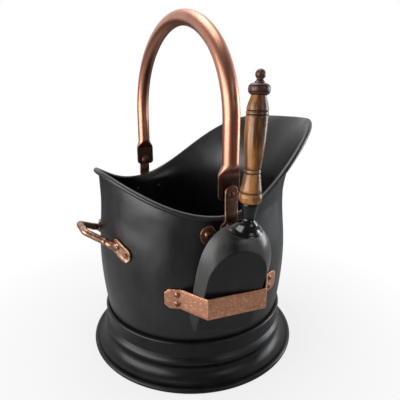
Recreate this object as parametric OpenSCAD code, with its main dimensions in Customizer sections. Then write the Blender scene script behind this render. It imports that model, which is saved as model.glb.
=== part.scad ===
// Coal scuttle with a swinging bail, a fixed back handle and a shovel in its holder.
// Millimetres. The origin is the centre of the foot on the floor, +Z is up,
// +X points to the spout and the shovel hangs on the -Y side.

/* [Body] */
// Height of the bottom edge of the body
body_z = 44; // [40:1:47]
// Height of the widest part of the belly
belly_z = 140; // [125:1:150]
// Outer radius of the belly
belly_r = 132.8; // [120:0.1:150]
// How far the body's bottom edge lies inside the belly
body_in = 9.8; // [8:0.1:12]
// Height of the neck, where the belly has drawn in
neck_z = 222; // [210:1:230]
// How far the neck lies inside the belly
neck_in = 5.2; // [4:0.1:7]
// Thickness of the body's sheet
sheet_t = 1; // [0.8:0.1:1.4]

/* [Rim] */
// Height of the rim's bead at the spout
spout_z = 315.3; // [290:0.1:325]
// Height of the bead at the low waist beside the ears
waist_z = 217.5; // [214:0.5:219]
// Height of the bead at the back
back_z = 257; // [240:1:265]
// How far the bead stands out from the belly at the spout
spout_out = 37.2; // [22:0.1:48]
// How far the bead stands out from the belly at the sides
side_out = 4.2; // [2.5:0.1:5]
// How far the bead lies inside the belly where the back meets the sides
hip_in = 5.3; // [3:0.1:5.8]
// How far the bead lies inside the belly at the back
back_in = 1.3; // [-1:0.1:2.8]
// Angle from the spout over which the rim stays high
spout_a = 20; // [10:1:30]
// Angle from the spout to the sides
side_a = 83; // [75:1:88]
// Angle from the spout to the low waist
waist_a = 105; // [103:1:110]
// Angle from the spout to the hips
hip_a = 135; // [128:1:142]
// Radius of the rolled bead on the rim
bead_r = 3.4; // [2.8:0.1:3.6]
// Height at which the sheet starts to flare below the waist
flare_waist_z = 209.5; // [204:0.5:211]
// Height at which the sheet starts to flare below the spout
flare_spout_z = 224; // [215:1:235]
// How late the flare turns out: 1 is a straight cone
flare_bend = 1.8; // [1.5:0.1:2.2]

/* [Foot] */
// How far the foot's bead stands out from the body's bottom edge
foot_out = 27; // [24:0.5:32]
// Radius of the bead on the floor
foot_bead_r = 3.2; // [2.8:0.1:3.6]
// Depth of the flat that is worn on the bead
foot_flat = 0.3; // [0.2:0.05:0.4]
// Height of the groove above the cove
groove_z = 20.5; // [18:0.5:23]
// How far the groove lies outside the body's bottom edge
groove_out = 5.5; // [5.2:0.1:6.5]
// How far the round moulding stands out of the groove
moulding_out = 5; // [3:0.5:6]
// Height of the top of the moulding
moulding_z = 37; // [34:1:39]
// Height of the centre of the collar's top bead
collar_z = 55; // [53:0.5:58]
// Radius of the collar's top bead
collar_bead_r = 2.6; // [2.2:0.1:2.8]
// Thickness of the foot's sheet
foot_t = 1.2; // [1:0.1:1.3]
// Thickness of the bottom plate
bottom_t = 0.8; // [0.6:0.1:0.9]

/* [Bail and ears] */
// How far the bail's pivot lies behind the middle
pivot_back = 22; // [18:1:24]
// Height of the bail's pivot
pivot_z = 246; // [243:1:250]
// How far the axis of a bail leg lies outside the neck
leg_out = 8.4; // [7.9:0.1:12]
// Diameter of the bail's tube
tube_d = 18.6; // [16:0.2:19]
// Thickness of the tube's wall
tube_t = 1.5; // [1:0.1:2]
// Height of the straight legs above the pivot
leg_h = 75; // [65:1:90]
// Distance from the middle to the centre of a shoulder
shoulder_y = 23; // [18:1:30]
// How much larger the crown's radius is than the shoulders'
crown_more = 37; // [34:1:55]
// Width of the flattened ends
tab_w = 27.5; // [23:0.5:29]
// Thickness of the flattened ends
tab_t = 3.5; // [3:0.1:4]
// How far the flattened ends reach below the pivot
tab_low = 7; // [6:0.5:10]
// Radius of the corners at the bottom of the flattened ends
tab_round = 5; // [3:0.5:8]
// How far they reach above the pivot before they turn round
tab_high = 20; // [16:1:22]
// Length over which an end turns from flat to round
tab_blend = 13; // [10:1:16]
// How far an ear's strap steps in above the rim's bead
ear_step = 1.2; // [0.5:0.1:2]
// Width of an ear's strap
ear_w = 16; // [13:0.5:18]
// Thickness of an ear
ear_t = 3; // [2.5:0.1:3.2]
// Height of an ear's strap above the pivot
ear_top = 10.5; // [8.5:0.5:12]
// Length of the plate that rivets an ear to the body
ear_plate_l = 60; // [58:1:68]
// Height of that plate
ear_plate_h = 25; // [20:0.5:25]
// Height of that plate's centre
ear_plate_z = 197; // [193:0.5:197]
// Distance between the two rivets of an ear
ear_rivet_gap = 42; // [38:1:44]
// Radius of the pivot pins
pin_r = 2.5; // [2:0.1:3]
// Radius of a pin's broad inner head
pin_head_r = 6.5; // [5:0.5:7.5]

/* [Back handle] */
// How far the middle of a handle plate lies outside its arm
lug_out = 15.2; // [14:0.1:16]
// Height of the handle plates
lug_z = 168; // [160:1:180]
// Length of a handle plate
lug_l = 36; // [34:1:40]
// Height of a handle plate
lug_h = 18; // [16:0.5:20]
// Slope of a handle plate, down towards the side
lug_slope = 24; // [18:1:28]
// Distance between the two rivets of a handle plate
lug_rivet_gap = 15; // [14:0.2:16]
// How far the middle of the two rivets lies towards the plate's low end
lug_rivet_low = 2.2; // [1:0.1:3]
// Thickness of a handle plate
lug_t = 3; // [2.5:0.1:3.5]
// Radius of the handle's bar
grip_bar_r = 4.4; // [3.5:0.1:4.5]
// Distance between the two arms where they leave the plates
arm_gap = 71; // [69:1:74]
// Length of the straight bar between the corners
bar_l = 26; // [18:1:30]
// How far the bar lies behind the body
handle_reach = 25.5; // [24:0.5:30]
// How far the bar lies above the plates
handle_rise = 14.5; // [10:0.5:20]
// Radius of the handle's corners
corner_r = 8; // [6:1:10]

/* [Shovel holder] */
// Direction in which the holder faces
holder_a = -97; // [-104:0.5:-93]
// Height of the holder's lower edge
holder_z = 107; // [98:1:112]
// Height of the holder's strap
holder_h = 25.5; // [22:0.5:30]
// Thickness of the strap
holder_t = 2; // [1.6:0.1:2.4]
// How far the front of the strap stands out from the belly
holder_out = 22.2; // [21.7:0.1:27]
// Length of the front panel
holder_front_l = 73; // [72:1:78]
// Distance between the two bends at the body
holder_root_l = 112.4; // [112:0.2:118]
// Length of a foot plate along the body
holder_foot_l = 25; // [22:1:28]
// Distance between the two rivets of a foot plate
holder_rivet_gap = 12; // [10:1:14]

/* [Shovel pan] */
// Width of the pan's flat
pan_w = 70; // [60:1:70]
// Length of the pan's flat
pan_l = 116; // [100:1:120]
// Length of the flat's round end
pan_arch_l = 38; // [30:1:44]
// How far the side walls flare out at the tip
pan_flare = 6.5; // [5:0.5:7]
// How much further they flare out towards the hood
pan_grow = 3.5; // [0:0.5:4]
// Depth of the side walls
pan_depth = 13; // [10:0.5:14]
// Depth of the hood at the back
hood_depth = 24; // [20:1:26]
// Length of the hood
hood_l = 30; // [24:1:34]
// Length over which the walls sink to the tip
tip_l = 24; // [16:1:30]
// Thickness of the pan
pan_t = 1.2; // [1:0.1:1.4]
// Height of the tip in the holder
tip_z = 77; // [70:1:84]
// Lean of the pan away from the body
pan_lean = 15; // [12:0.5:16]
// Sideways lean of the pan towards the spout
pan_tilt = 6.4; // [4:0.1:7]
// Turn of the pan in the holder
pan_turn = -4; // [-4:0.5:0]
// Space between the pan and the top of the strap
pan_gap = 3.2; // [3:0.1:5]
// How far the pan stands from the holder's middle towards the back
pan_side = 3; // [0:0.5:3]

/* [Shovel handle] */
// Height of the wooden grip's foot above the end of the pan's flat
grip_rise = 55; // [50:1:60]
// Length of the wooden grip
grip_l = 105.5; // [100:0.5:115]
// Radius of the grip's foot
grip_r = 12; // [11:0.1:13]
// Radius of the grip's upper bulge
bulge_r = 11.2; // [10:0.1:12]
// Radius of the grip's narrow waist
grip_waist_r = 8.4; // [7.5:0.1:9]
// Depth of the turned grooves
groove_d = 0.6; // [0.3:0.1:0.8]
// Radius of the dark collar above the grip
cap_r = 10.8; // [10:0.1:12]
// Height of the dark collar
cap_h = 11; // [9:0.5:13]
// Radius of the ball on top
ball_r = 5.1; // [4.8:0.1:6]
// Radius of the socket's mouth under the grip
socket_r = 9; // [8:0.1:9.5]
// Radius of the socket's skirt on the hood
skirt_r = 18; // [16:0.5:19]
// How deep the rod reaches into the socket
tang_depth = 20; // [14:1:22]
// Radius of the rod inside the handle
tang_r = 2.5; // [2:0.1:3]
// Lean of the handle against the pan's middle line
handle_set = 3.5; // [3:0.1:5]

/* [Clearances and rivets] */
// Space under plates, heads and hooks
seat_gap = 0.15; // [0.1:0.01:0.3]
// Space between the ears and the bail's flattened ends
ear_gap = 2; // [1.5:0.1:2.5]
// Space between the bail's flattened ends and the pins' broad heads
side_gap = 0.25; // [0.2:0.05:0.4]
// Space around a pin that turns
turn_gap = 0.05; // [0.02:0.01:0.09]
// Space around a rod or rivet in its hole
hole_gap = 0.1; // [0.05:0.01:0.2]
// Radius of the rivets' shanks
rivet_r = 2; // [1.8:0.1:2.2]
// Radius of the rivets' heads
rivet_head_r = 3.5; // [3:0.1:4]
// Height of the rivets' heads
rivet_head_h = 1.8; // [1.4:0.1:2.2]

/* [Hidden] */
$fn = 96;

around = 60;          // columns of the body's sheet
ease_rows = 10;       // rows of the sheet below the flare
flare_rows = 5;       // rows of the sheet in the flare
curl_steps = 7;       // steps of the rolled edge
curl_turn = 300;      // how far the edge is rolled, in degrees
through = 60;         // length of a cutting shape that has to pass right through
tab_rows = 6;         // rows and sides of the bail's ends, where they turn round
tab_sides = 32;
bite = 0.5;           // how far one solid of a piece reaches into the next
seam_gap = 0.3;       // space left in a seam between two lengths of a tube or bar
seam_h = 0.12;        // height of the smooth bead that fills such a seam
drill_l = 20;         // length of the drill for a rivet's hole

near = -1;            // the shovel's side
far = 1;

// ---- small helpers ----

function ease(t) = (1 - cos(180 * min(1, max(0, t)))) / 2;
function mix(a, b, t) = a + (b - a) * t;
function unit(v) = v / norm(v);
function turned(v) = [v[1], -v[0]];

// A line of points and its copy t to the right, closed to a strip.
function strip(pts, t) =
    let (n = len(pts))
    concat(pts, [for (i = [n - 1:-1:0])
        let (before = unit(pts[max(1, i)] - pts[max(1, i) - 1]),
             after = unit(pts[min(n - 1, i + 1)] - pts[min(n - 1, i + 1) - 1]),
             side = unit(turned(before) + turned(after)))
        pts[i] + side * t / (side * turned(before))]);

// A line of points moved t to the right.
function beside(pts, t) =
    let (n = len(pts), all = strip(pts, t)) [for (i = [1:n]) all[2 * n - i]];

// Closed loops of points, each joined to the next and the last to the first.
module loop_sweep(loops) {
    n = len(loops);
    m = len(loops[0]);
    polyhedron(
        points = [for (l = loops) each l],
        faces = [for (i = [0:n - 1], j = [0:m - 1])
            let (a = i * m + j, b = i * m + (j + 1) % m,
                 c = ((i + 1) % n) * m + (j + 1) % m, d = ((i + 1) % n) * m + j)
            each [[a, b, c], [a, c, d]]]);
}

// Open rows of points, each joined to the next, with a flat face at both ends.
module skin(loops) {
    n = len(loops);
    m = len(loops[0]);
    polyhedron(
        points = [for (l = loops) each l],
        faces = concat(
            [[for (j = [0:m - 1]) j], [for (j = [m - 1:-1:0]) (n - 1) * m + j]],
            [for (i = [0:n - 2], j = [0:m - 1])
                let (a = i * m + j, b = i * m + (j + 1) % m,
                     c = (i + 1) * m + (j + 1) % m, d = (i + 1) * m + j)
                each [[a, c, b], [a, d, c]]]));
}

// A round cap of the given base radius and height, standing on z = 0.
module dome(r, h) {
    ball = (r * r + h * h) / (2 * h);
    intersection() {
        translate([0, 0, h - ball]) sphere(r = ball);
        cylinder(r = r, h = h);
    }
}

// ---- the body's outline ----

body_r = belly_r - body_in;
neck_r = belly_r - neck_in;
spout_r = belly_r + spout_out;
side_r = belly_r + side_out;
hip_r = belly_r - hip_in;
back_r = belly_r - back_in;

// Outer radius of the belly and neck at a height.
function wall_r(z) =
    z < belly_z ? belly_r - (belly_r - body_r) * pow((belly_z - z) / (belly_z - body_z), 2)
    : mix(belly_r, neck_r, ease((z - belly_z) / (neck_z - belly_z)));
function wall_slope(z) = atan(wall_r(z + 0.5) - wall_r(z - 0.5));

// Height and radius of the rim bead's centre at an angle from the spout.
function rim_z(a) =
    a < waist_a ? mix(waist_z, spout_z, ease((waist_a - a) / (waist_a - spout_a)))
    : mix(waist_z, back_z, ease((a - waist_a) / (180 - waist_a)));
function rim_r(a) =
    a < side_a ? mix(side_r, spout_r, ease(1 - a / side_a))
    : a < hip_a ? mix(hip_r, side_r, ease((hip_a - a) / (hip_a - side_a)))
    : mix(hip_r, back_r, ease((a - hip_a) / (180 - hip_a)));
function flare_z(a) =
    mix(flare_waist_z, flare_spout_z, (rim_z(a) - waist_z) / (spout_z - waist_z));

// Lean of the sheet at the rim, and the point where its outside meets the bead.
function rim_lean(a) =
    atan(flare_bend * (rim_r(a) - bead_r + sheet_t - neck_r) / (rim_z(a) - flare_z(a)));
function edge(a) =
    [rim_r(a), rim_z(a)] - (bead_r - sheet_t) * [cos(rim_lean(a)), -sin(rim_lean(a))];

// A point of the sheet, in radius and height: depth goes from outside to inside.
function flare_point(a, s, depth) =
    let (top = edge(a), low = flare_z(a), h = top[1] - low,
         out = top[0] - wall_r(top[1]), z = low + s * h,
         lean = atan(flare_bend * out * pow(s, flare_bend - 1) / h))
    [wall_r(z) + out * pow(s, flare_bend), z] - depth * [cos(lean), -sin(lean)];
function wall_point(a, s, depth) =
    let (z = mix(body_z + sheet_t, flare_z(a), s)) [wall_r(z) - depth, z];
function curl_point(a, turn, r) =
    let (lean = rim_lean(a))
    [rim_r(a), rim_z(a)] - r * cos(turn) * [cos(lean), -sin(lean)]
        + r * sin(turn) * [sin(lean), cos(lean)];

function place(p, a) = [p[0] * cos(a), p[0] * sin(a), p[1]];

function shell_loop(a) =
    let (b = abs(a > 180 ? a - 360 : a))
    [for (p = concat(
        [[flange_r, body_z], [flange_r, body_z + sheet_t]],
        [for (i = [0:ease_rows - 1]) wall_point(b, i / ease_rows, 0)],
        [for (i = [0:flare_rows]) flare_point(b, i / flare_rows, 0)],
        [for (i = [1:curl_steps]) curl_point(b, i * curl_turn / curl_steps, bead_r - sheet_t)],
        [for (i = [curl_steps:-1:1]) curl_point(b, i * curl_turn / curl_steps, bead_r)],
        [for (i = [flare_rows:-1:0]) flare_point(b, i / flare_rows, sheet_t)],
        [for (i = [ease_rows - 1:-1:0]) wall_point(b, i / ease_rows, sheet_t)],
        [[wall_r(body_z) - sheet_t, body_z]]
    )) place(p, a)];

// ---- places on the body ----

foot_r = body_r + foot_out;
groove_r = body_r + groove_out;
moulding_r = groove_r + 0.5;
collar_r = wall_r(collar_z) + collar_bead_r;
function collar_in(z) =
    mix(moulding_r, collar_r, (z - moulding_z) / (collar_z - moulding_z)) - foot_t;
hook_top = body_z + sheet_t + seat_gap + bottom_t;
hook_r = collar_in(hook_top) - seat_gap;
flange_r = hook_r - bottom_t - seat_gap;

pivot_x = -pivot_back;
leg_y = neck_r + leg_out;
ear_a = 90 + asin(pivot_back / (neck_r + ear_t));
// an ear's strap clears the bead where it stands out most, at the strap's front edge
ear_front_a = 90 + asin((pivot_back - ear_w / 2) / rim_r(ear_a));
ear_over_y = rim_r(ear_front_a) * sin(ear_front_a) + bead_r + seat_gap;
ear_y = ear_over_y - ear_step;
tab_y = ear_y - ear_gap - tab_t / 2;
ear_rivet_a = ear_rivet_gap / 2 / (neck_r + ear_t) * 180 / PI;
ear_rivet_z = ear_plate_z + 1.5;    // a little above the plate's middle
holder_r = belly_r + holder_out;
holder_mid_z = holder_z + holder_h / 2;
holder_bend_a = asin(holder_root_l / 2 / belly_r);
holder_rivet_a = holder_bend_a + holder_foot_l * 0.2 / belly_r * 180 / PI;
holder_rivet_zs = [for (s = [-1, 1]) holder_mid_z + s * holder_rivet_gap / 2];
lug_a = asin((arm_gap / 2 + lug_out) / wall_r(lug_z));
function lug_rivet_y(s) = lug_rivet_low + s * lug_rivet_gap / 2;
function lug_rivet_a(s) = lug_a + lug_rivet_y(s) / belly_r * 180 / PI;
function lug_rivet_z(s) = lug_z - tan(lug_slope) * lug_rivet_y(s);

// Puts its children on the outside of the body, with +X pointing away from it.
module on_wall(a, z, out = 0) {
    rotate([0, 0, a]) translate([wall_r(z), 0, z]) rotate([0, wall_slope(z), 0])
        translate([out, 0, 0]) children();
}

// A band of plate that follows the body between two heights.
module wall_band(z0, z1, t, a, spread) {
    rows = 6;
    inner = [for (i = [0:rows]) let (z = mix(z0, z1, i / rows)) [wall_r(z) + seat_gap, z]];
    rotate([0, 0, a - spread]) rotate_extrude(angle = 2 * spread, $fn = 180)
        polygon(strip(inner, t));
}

// A rivet through the sheet and a plate of thickness t that lies on it.
module rivet(a, z, t, head_r = rivet_head_r) {
    on_wall(a, z) {
        outer = t + 2 * seat_gap;
        inner = sheet_t + 3 * seat_gap;
        translate([outer, 0, 0]) rotate([0, 90, 0]) dome(head_r, rivet_head_h);
        translate([-inner, 0, 0]) rotate([0, -90, 0]) dome(head_r, rivet_head_h);
        translate([-inner - bite, 0, 0]) rotate([0, 90, 0])
            cylinder(r = rivet_r, h = inner + outer + 2 * bite);
    }
}
module rivet_hole(a, z) {
    on_wall(a, z) rotate([0, 90, 0])
        cylinder(r = rivet_r + hole_gap, h = drill_l, center = true, $fn = 24);
}

// ---- body and foot ----

module body_shell() {
    color([0.10, 0.10, 0.11])
    difference() {
        loop_sweep([for (i = [0:around - 1]) shell_loop(i * 360 / around)]);
        for (side = [near, far], s = [-1, 1]) {
            rivet_hole(side * (ear_a + s * ear_rivet_a), ear_rivet_z);
            rivet_hole(180 + side * lug_rivet_a(s), lug_rivet_z(s));
            for (z = holder_rivet_zs) rivet_hole(holder_a + s * holder_rivet_a, z);
        }
    }
}

// The wire that the rim is rolled round.
module rim_wire() {
    sides = 8;
    wire_r = bead_r - sheet_t - 3 * seat_gap;
    color([0.30, 0.30, 0.32])
    loop_sweep([for (i = [0:around - 1])
        let (a = i * 360 / around, b = abs(a > 180 ? a - 360 : a))
        [for (j = [0:sides - 1]) place(curl_point(b, -j * 360 / sides, wire_r), a)]]);
}

// The bottom plate, with its edge folded over the body's flange.
module base_pan() {
    top = body_z - seat_gap;
    color([0.12, 0.12, 0.13])
    rotate_extrude($fn = 180) polygon([
        [0, top - bottom_t], [hook_r, top - bottom_t], [hook_r, hook_top],
        [wall_r(hook_top) + 2 * seat_gap, hook_top],
        [wall_r(hook_top) + 2 * seat_gap, hook_top - bottom_t],
        [hook_r - bottom_t, hook_top - bottom_t], [hook_r - bottom_t, top], [0, top]]);
}

// The spun foot: a cove, a round moulding, a collar and a bead at each edge.
module foot_ring() {
    bead_c = [foot_r - foot_bead_r, foot_bead_r - foot_flat];
    cove_r = bead_c[0] - foot_bead_r * 0.7;
    cove_z = bead_c[1] + foot_bead_r * 0.7;
    cove_steps = 8;
    round_steps = 10;
    top_c = [wall_r(collar_z) + seat_gap + collar_bead_r, collar_z];
    outside = concat(
        [for (i = [0:cove_steps]) let (t = i * 90 / cove_steps)
            [mix(cove_r, groove_r, sin(t)), mix(cove_z, groove_z, 1 - cos(t))]],
        [for (i = [1:round_steps]) let (t = i / round_steps)
            [mix(groove_r, moulding_r, t) + moulding_out * sin(180 * t),
             mix(groove_z + 0.8, moulding_z, t)]],
        [[collar_r, collar_z - 0.5 * collar_bead_r]]);
    color([0.10, 0.10, 0.11])
    rotate_extrude($fn = 180) {
        polygon(strip(outside, -foot_t));
        difference() {
            translate(bead_c) circle(r = foot_bead_r, $fn = 48);
            translate(bead_c) circle(r = foot_bead_r - foot_t + 0.1, $fn = 48);
            translate([foot_r - 3 * foot_bead_r, -foot_bead_r])
                square([4 * foot_bead_r, foot_bead_r]);
        }
        translate(top_c) circle(r = collar_bead_r, $fn = 48);
    }
}

// The wire inside the foot's lower bead.
module foot_wire() {
    color([0.30, 0.30, 0.32])
    rotate_extrude($fn = 180)
        translate([foot_r - foot_bead_r, foot_bead_r - foot_flat])
            circle(r = foot_bead_r - foot_t - seat_gap, $fn = 32);
}

// ---- ears, pins and bail ----

// One ear: a plate along the body, with a strap that steps over the bead.
module ear(side) {
    bead_z = rim_z(ear_front_a);
    low_y = wall_r(ear_plate_z) + seat_gap;
    top_z = pivot_z + ear_top;
    inner = [
        [low_y, ear_plate_z - 2], [low_y, bead_z - 3.6 * bead_r],
        [low_y + 1.2, bead_z - 2.9 * bead_r], [ear_over_y, bead_z - 0.8 * bead_r],
        [ear_over_y, bead_z + 0.7 * bead_r], [ear_y, bead_z + 2.7 * bead_r], [ear_y, top_z]];
    lobe_r = ear_plate_h / 2;
    difference() {
        union() {
            intersection() {
                wall_band(ear_plate_z - lobe_r, ear_plate_z + lobe_r, ear_t, ear_a, 20);
                rotate([0, 0, ear_a]) translate([0, 0, ear_plate_z]) rotate([0, 90, 0])
                    linear_extrude(belly_r + through) {
                        for (s = [-1, 1]) translate([0, s * (ear_plate_l / 2 - lobe_r)])
                            circle(r = lobe_r);
                        square([ear_plate_h - 3, ear_plate_l - 2 * lobe_r], center = true);
                    }
            }
            intersection() {
                translate([pivot_x - ear_w, 0, 0]) rotate([90, 0, 90])
                    linear_extrude(2 * ear_w) polygon(strip(inner, ear_t));
                translate([pivot_x, belly_r + through, 0]) rotate([90, 0, 0])
                    linear_extrude(belly_r + through) {
                        translate([0, top_z - ear_w / 2]) circle(r = ear_w / 2);
                        translate([-ear_w / 2, ear_plate_z - 10])
                            square([ear_w, top_z - ear_w / 2 - ear_plate_z + 10]);
                    }
            }
        }
        translate([pivot_x, ear_y, pivot_z]) rotate([90, 0, 0])
            cylinder(r = pin_r + turn_gap, h = through, center = true);
        for (s = [-1, 1]) rivet_hole(ear_a + s * ear_rivet_a, ear_rivet_z);
    }
}
module ear_near() { color([0.62, 0.36, 0.25]) mirror([0, 1, 0]) ear(far); }
module ear_far() { color([0.62, 0.36, 0.25]) ear(far); }

module ear_rivets(side) {
    color([0.55, 0.30, 0.20])
    for (s = [-1, 1]) rivet(side * (ear_a + s * ear_rivet_a), ear_rivet_z, ear_t);
}
module ear_rivets_near() { ear_rivets(near); }
module ear_rivets_far() { ear_rivets(far); }

// A pin: a broad head inside the bail's end, a small peened head outside the ear.
module pivot_pin(side) {
    inner_y = tab_y - tab_t / 2 - side_gap;
    outer_y = ear_y + ear_t + seat_gap;
    head_h = 3;
    peened_r = pin_r + 1;
    peened_h = 1.6;
    color([0.58, 0.33, 0.22])
    mirror([0, side == near ? 1 : 0, 0]) translate([pivot_x, 0, pivot_z]) {
        translate([0, inner_y, 0]) rotate([90, 0, 0]) dome(pin_head_r, head_h);
        translate([0, inner_y - bite, 0]) rotate([-90, 0, 0])
            cylinder(r = pin_r, h = outer_y - inner_y + 2 * bite);
        translate([0, outer_y, 0]) rotate([-90, 0, 0]) dome(peened_r, peened_h);
    }
}
module pivot_pin_near() { pivot_pin(near); }
module pivot_pin_far() { pivot_pin(far); }

// The outline of the bail's end where it is e of the way from flat to round.
function tab_loop(z, e) =
    let (w = mix(tab_w, tube_d, e) - 0.1, t = mix(tab_t, tube_d, e) - 0.1,
         y = mix(tab_y, leg_y, e))
    [for (j = [0:tab_sides - 1])
        let (a = j * 360 / tab_sides)
        [sign(round(cos(a) * 1000)) * (w - t) / 2 + cos(a) * t / 2, y + sin(a) * t / 2, z]];

// One end of the bail and its straight leg, from the pivot up.
module bail_end() {
    round_z = tab_high + tab_blend;
    difference() {
        // flat, with two round corners
        translate([0, tab_y + tab_t / 2, 0]) rotate([90, 0, 0]) linear_extrude(tab_t) {
            translate([-tab_w / 2, tab_round - tab_low])
                square([tab_w, tab_high + tab_low - tab_round]);
            translate([tab_round - tab_w / 2, -tab_low])
                square([tab_w - 2 * tab_round, tab_round + bite]);
            for (s = [-1, 1])
                translate([s * (tab_w / 2 - tab_round), tab_round - tab_low])
                    circle(r = tab_round);
        }
        translate([0, tab_y, 0]) rotate([90, 0, 0])
            cylinder(r = pin_r + turn_gap, h = tab_t * 3, center = true);
    }
    skin(concat(
        [tab_loop(tab_high - bite, 0)],
        [for (i = [0:tab_rows])
            tab_loop(mix(tab_high + 0.05, round_z - 0.05, i / tab_rows), ease(i / tab_rows))],
        [tab_loop(round_z + bite, 1)]));
    translate([0, leg_y, round_z]) difference() {
        cylinder(d = tube_d, h = leg_h - round_z - seam_gap);
        translate([0, 0, 2 * bite]) cylinder(d = tube_d - 2 * tube_t, h = leg_h);
    }
}

// A length of tube, bent over part of a circle in the YZ plane.
module bend(r, from, to) {
    gap = seam_gap / r * 180 / PI;
    rotate([90, 0, 90]) rotate([0, 0, from + gap]) rotate_extrude(angle = to - from - 2 * gap)
        translate([r, 0]) difference() {
            circle(d = tube_d, $fn = 48);
            circle(d = tube_d - 2 * tube_t, $fn = 48);
        }
}

// A bail of straight legs, two shoulders and a crown, brazed together at four seams.
module bail() {
    shoulder_r = leg_y - shoulder_y;
    crown_r = shoulder_r + crown_more;
    crown_drop = sqrt(pow(crown_more, 2) - pow(shoulder_y, 2));
    meet_a = atan2(crown_drop, shoulder_y);
    color([0.60, 0.35, 0.25])
    translate([pivot_x, 0, pivot_z]) {
        for (m = [0, 1]) mirror([0, m, 0]) {
            bail_end();
            translate([0, leg_y, leg_h]) sphere(r = tube_d / 2 + seam_h);
            translate([0, shoulder_y, leg_h]) {
                bend(shoulder_r, 0, meet_a);
                translate([0, shoulder_r * cos(meet_a), shoulder_r * sin(meet_a)])
                    sphere(r = tube_d / 2 + seam_h);
            }
        }
        translate([0, 0, leg_h - crown_drop]) bend(crown_r, meet_a, 180 - meet_a);
    }
}

// ---- back handle ----

module lug(side) {
    difference() {
        intersection() {
            wall_band(lug_z - lug_h, lug_z + lug_h, lug_t, 180 + side * lug_a, 16);
            rotate([0, 0, 180 + side * lug_a]) translate([0, 0, lug_z]) rotate([0, 90, 0])
                rotate([0, 0, side * -lug_slope])
                    linear_extrude(belly_r + through) lug_outline();
        }
        for (s = [-1, 1]) rivet_hole(180 + side * lug_rivet_a(s), lug_rivet_z(s));
    }
}

// A tongue with two round ends.
module lug_outline() {
    for (s = [-1, 1]) translate([0, s * (lug_l - lug_h) / 2]) circle(d = lug_h);
    square([lug_h - 1, lug_l - lug_h], center = true);
}

// Two arms, two corners and a bar, brazed together, on two plates.
module rear_handle() {
    arm_y = arm_gap / 2;
    arm_z = lug_z + 4.4;      // the arm meets the plate's high end
    arm_off = grip_bar_r + 3 * seat_gap;
    start_r = wall_r(arm_z) + arm_off;
    start = [-sqrt(pow(start_r, 2) - pow(arm_y, 2)), arm_y, arm_z];
    bar_x = -wall_r(lug_z) - handle_reach;
    corner_y = bar_l / 2;
    // plane of the grip: x runs out along its slope, y runs sideways
    slope = atan2(handle_rise, start[0] - bar_x);
    reach = norm([start[0] - bar_x, handle_rise]);
    cc = [reach - corner_r, corner_y];
    // the arm leaves the corner's circle at its tangent
    to_c = cc - [0, arm_y];
    tangent_a = atan2(to_c[1], to_c[0]) + asin(corner_r / norm(to_c));
    arm_l = sqrt(pow(norm(to_c), 2) - pow(corner_r, 2));
    seam_a = seam_gap / corner_r * 180 / PI;
    ball = grip_bar_r + seam_h;
    root = 2;
    color([0.58, 0.34, 0.24])
    union() {
        for (side = [near, far]) lug(side);
        translate([start[0], 0, start[2]]) rotate([0, slope, 0]) mirror([1, 0, 0]) {
            translate([reach, seam_gap - corner_y, 0]) rotate([-90, 0, 0])
                cylinder(r = grip_bar_r, h = bar_l - 2 * seam_gap);
            for (m = [0, 1]) mirror([0, m, 0]) {
                translate([0, arm_y, 0]) rotate([0, 90, tangent_a]) translate([0, 0, -root])
                    cylinder(r = grip_bar_r, h = root + arm_l - seam_gap);
                translate([cc[0], cc[1], 0]) {
                    rotate([0, 0, seam_a])
                        rotate_extrude(angle = 90 + tangent_a - 2 * seam_a)
                            translate([corner_r, 0]) circle(r = grip_bar_r, $fn = 48);
                    translate([corner_r, 0, 0]) sphere(r = ball);
                    rotate([0, 0, 90 + tangent_a]) translate([corner_r, 0, 0])
                        sphere(r = ball);
                }
            }
        }
    }
}

module rear_handle_rivets() {
    color([0.50, 0.29, 0.20])
    for (side = [near, far], s = [-1, 1])
        rivet(180 + side * lug_rivet_a(s), lug_rivet_z(s), lug_t, 3);
}

// ---- shovel holder ----

module shovel_holder() {
    top = holder_z + holder_h;
    foot_a = holder_foot_l / 2 / belly_r * 180 / PI;
    foot_c = holder_bend_a + foot_a - 2;
    end_r = belly_r + seat_gap + holder_t * 0.5;
    line = [
        end_r * [cos(holder_bend_a), -sin(holder_bend_a)],
        [holder_r - holder_t / 2, -holder_front_l / 2],
        [holder_r - holder_t / 2, holder_front_l / 2],
        end_r * [cos(holder_bend_a), sin(holder_bend_a)]];
    chamfer = 5;
    color([0.72, 0.46, 0.33])
    rotate([0, 0, holder_a]) difference() {
        union() {
            translate([0, 0, holder_z]) linear_extrude(holder_h)
                polygon(strip(beside(line, -holder_t / 2), holder_t));
            for (s = [-1, 1]) intersection() {
                wall_band(holder_z, top, holder_t, s * foot_c, foot_a + 2);
                rotate([0, 0, s * foot_c]) translate([0, 0, holder_mid_z]) rotate([0, 90, 0])
                    linear_extrude(belly_r + through) scale([1, s]) polygon([
                        [holder_h / 2, -through], [holder_h / 2, holder_foot_l / 2 - chamfer],
                        [holder_h / 2 - chamfer, holder_foot_l / 2],
                        [chamfer - holder_h / 2, holder_foot_l / 2],
                        [-holder_h / 2, holder_foot_l / 2 - chamfer], [-holder_h / 2, -through]]);
            }
        }
        for (s = [-1, 1], z = holder_rivet_zs) rivet_hole(s * holder_rivet_a, z);
    }
}

module holder_rivets() {
    color([0.60, 0.34, 0.24])
    for (s = [-1, 1], z = holder_rivet_zs) rivet(holder_a + s * holder_rivet_a, z, holder_t);
}

// ---- shovel ----

// The pan's own frame: the middle of the tip on its underside, +Z along the pan,
// -Y away from the body.
holder_top = holder_z + holder_h;
tip_r = holder_r - holder_t - pan_gap - (holder_top - tip_z) * tan(pan_lean);
tip_side = -pan_side - (holder_top - tip_z) * tan(pan_tilt);

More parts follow.
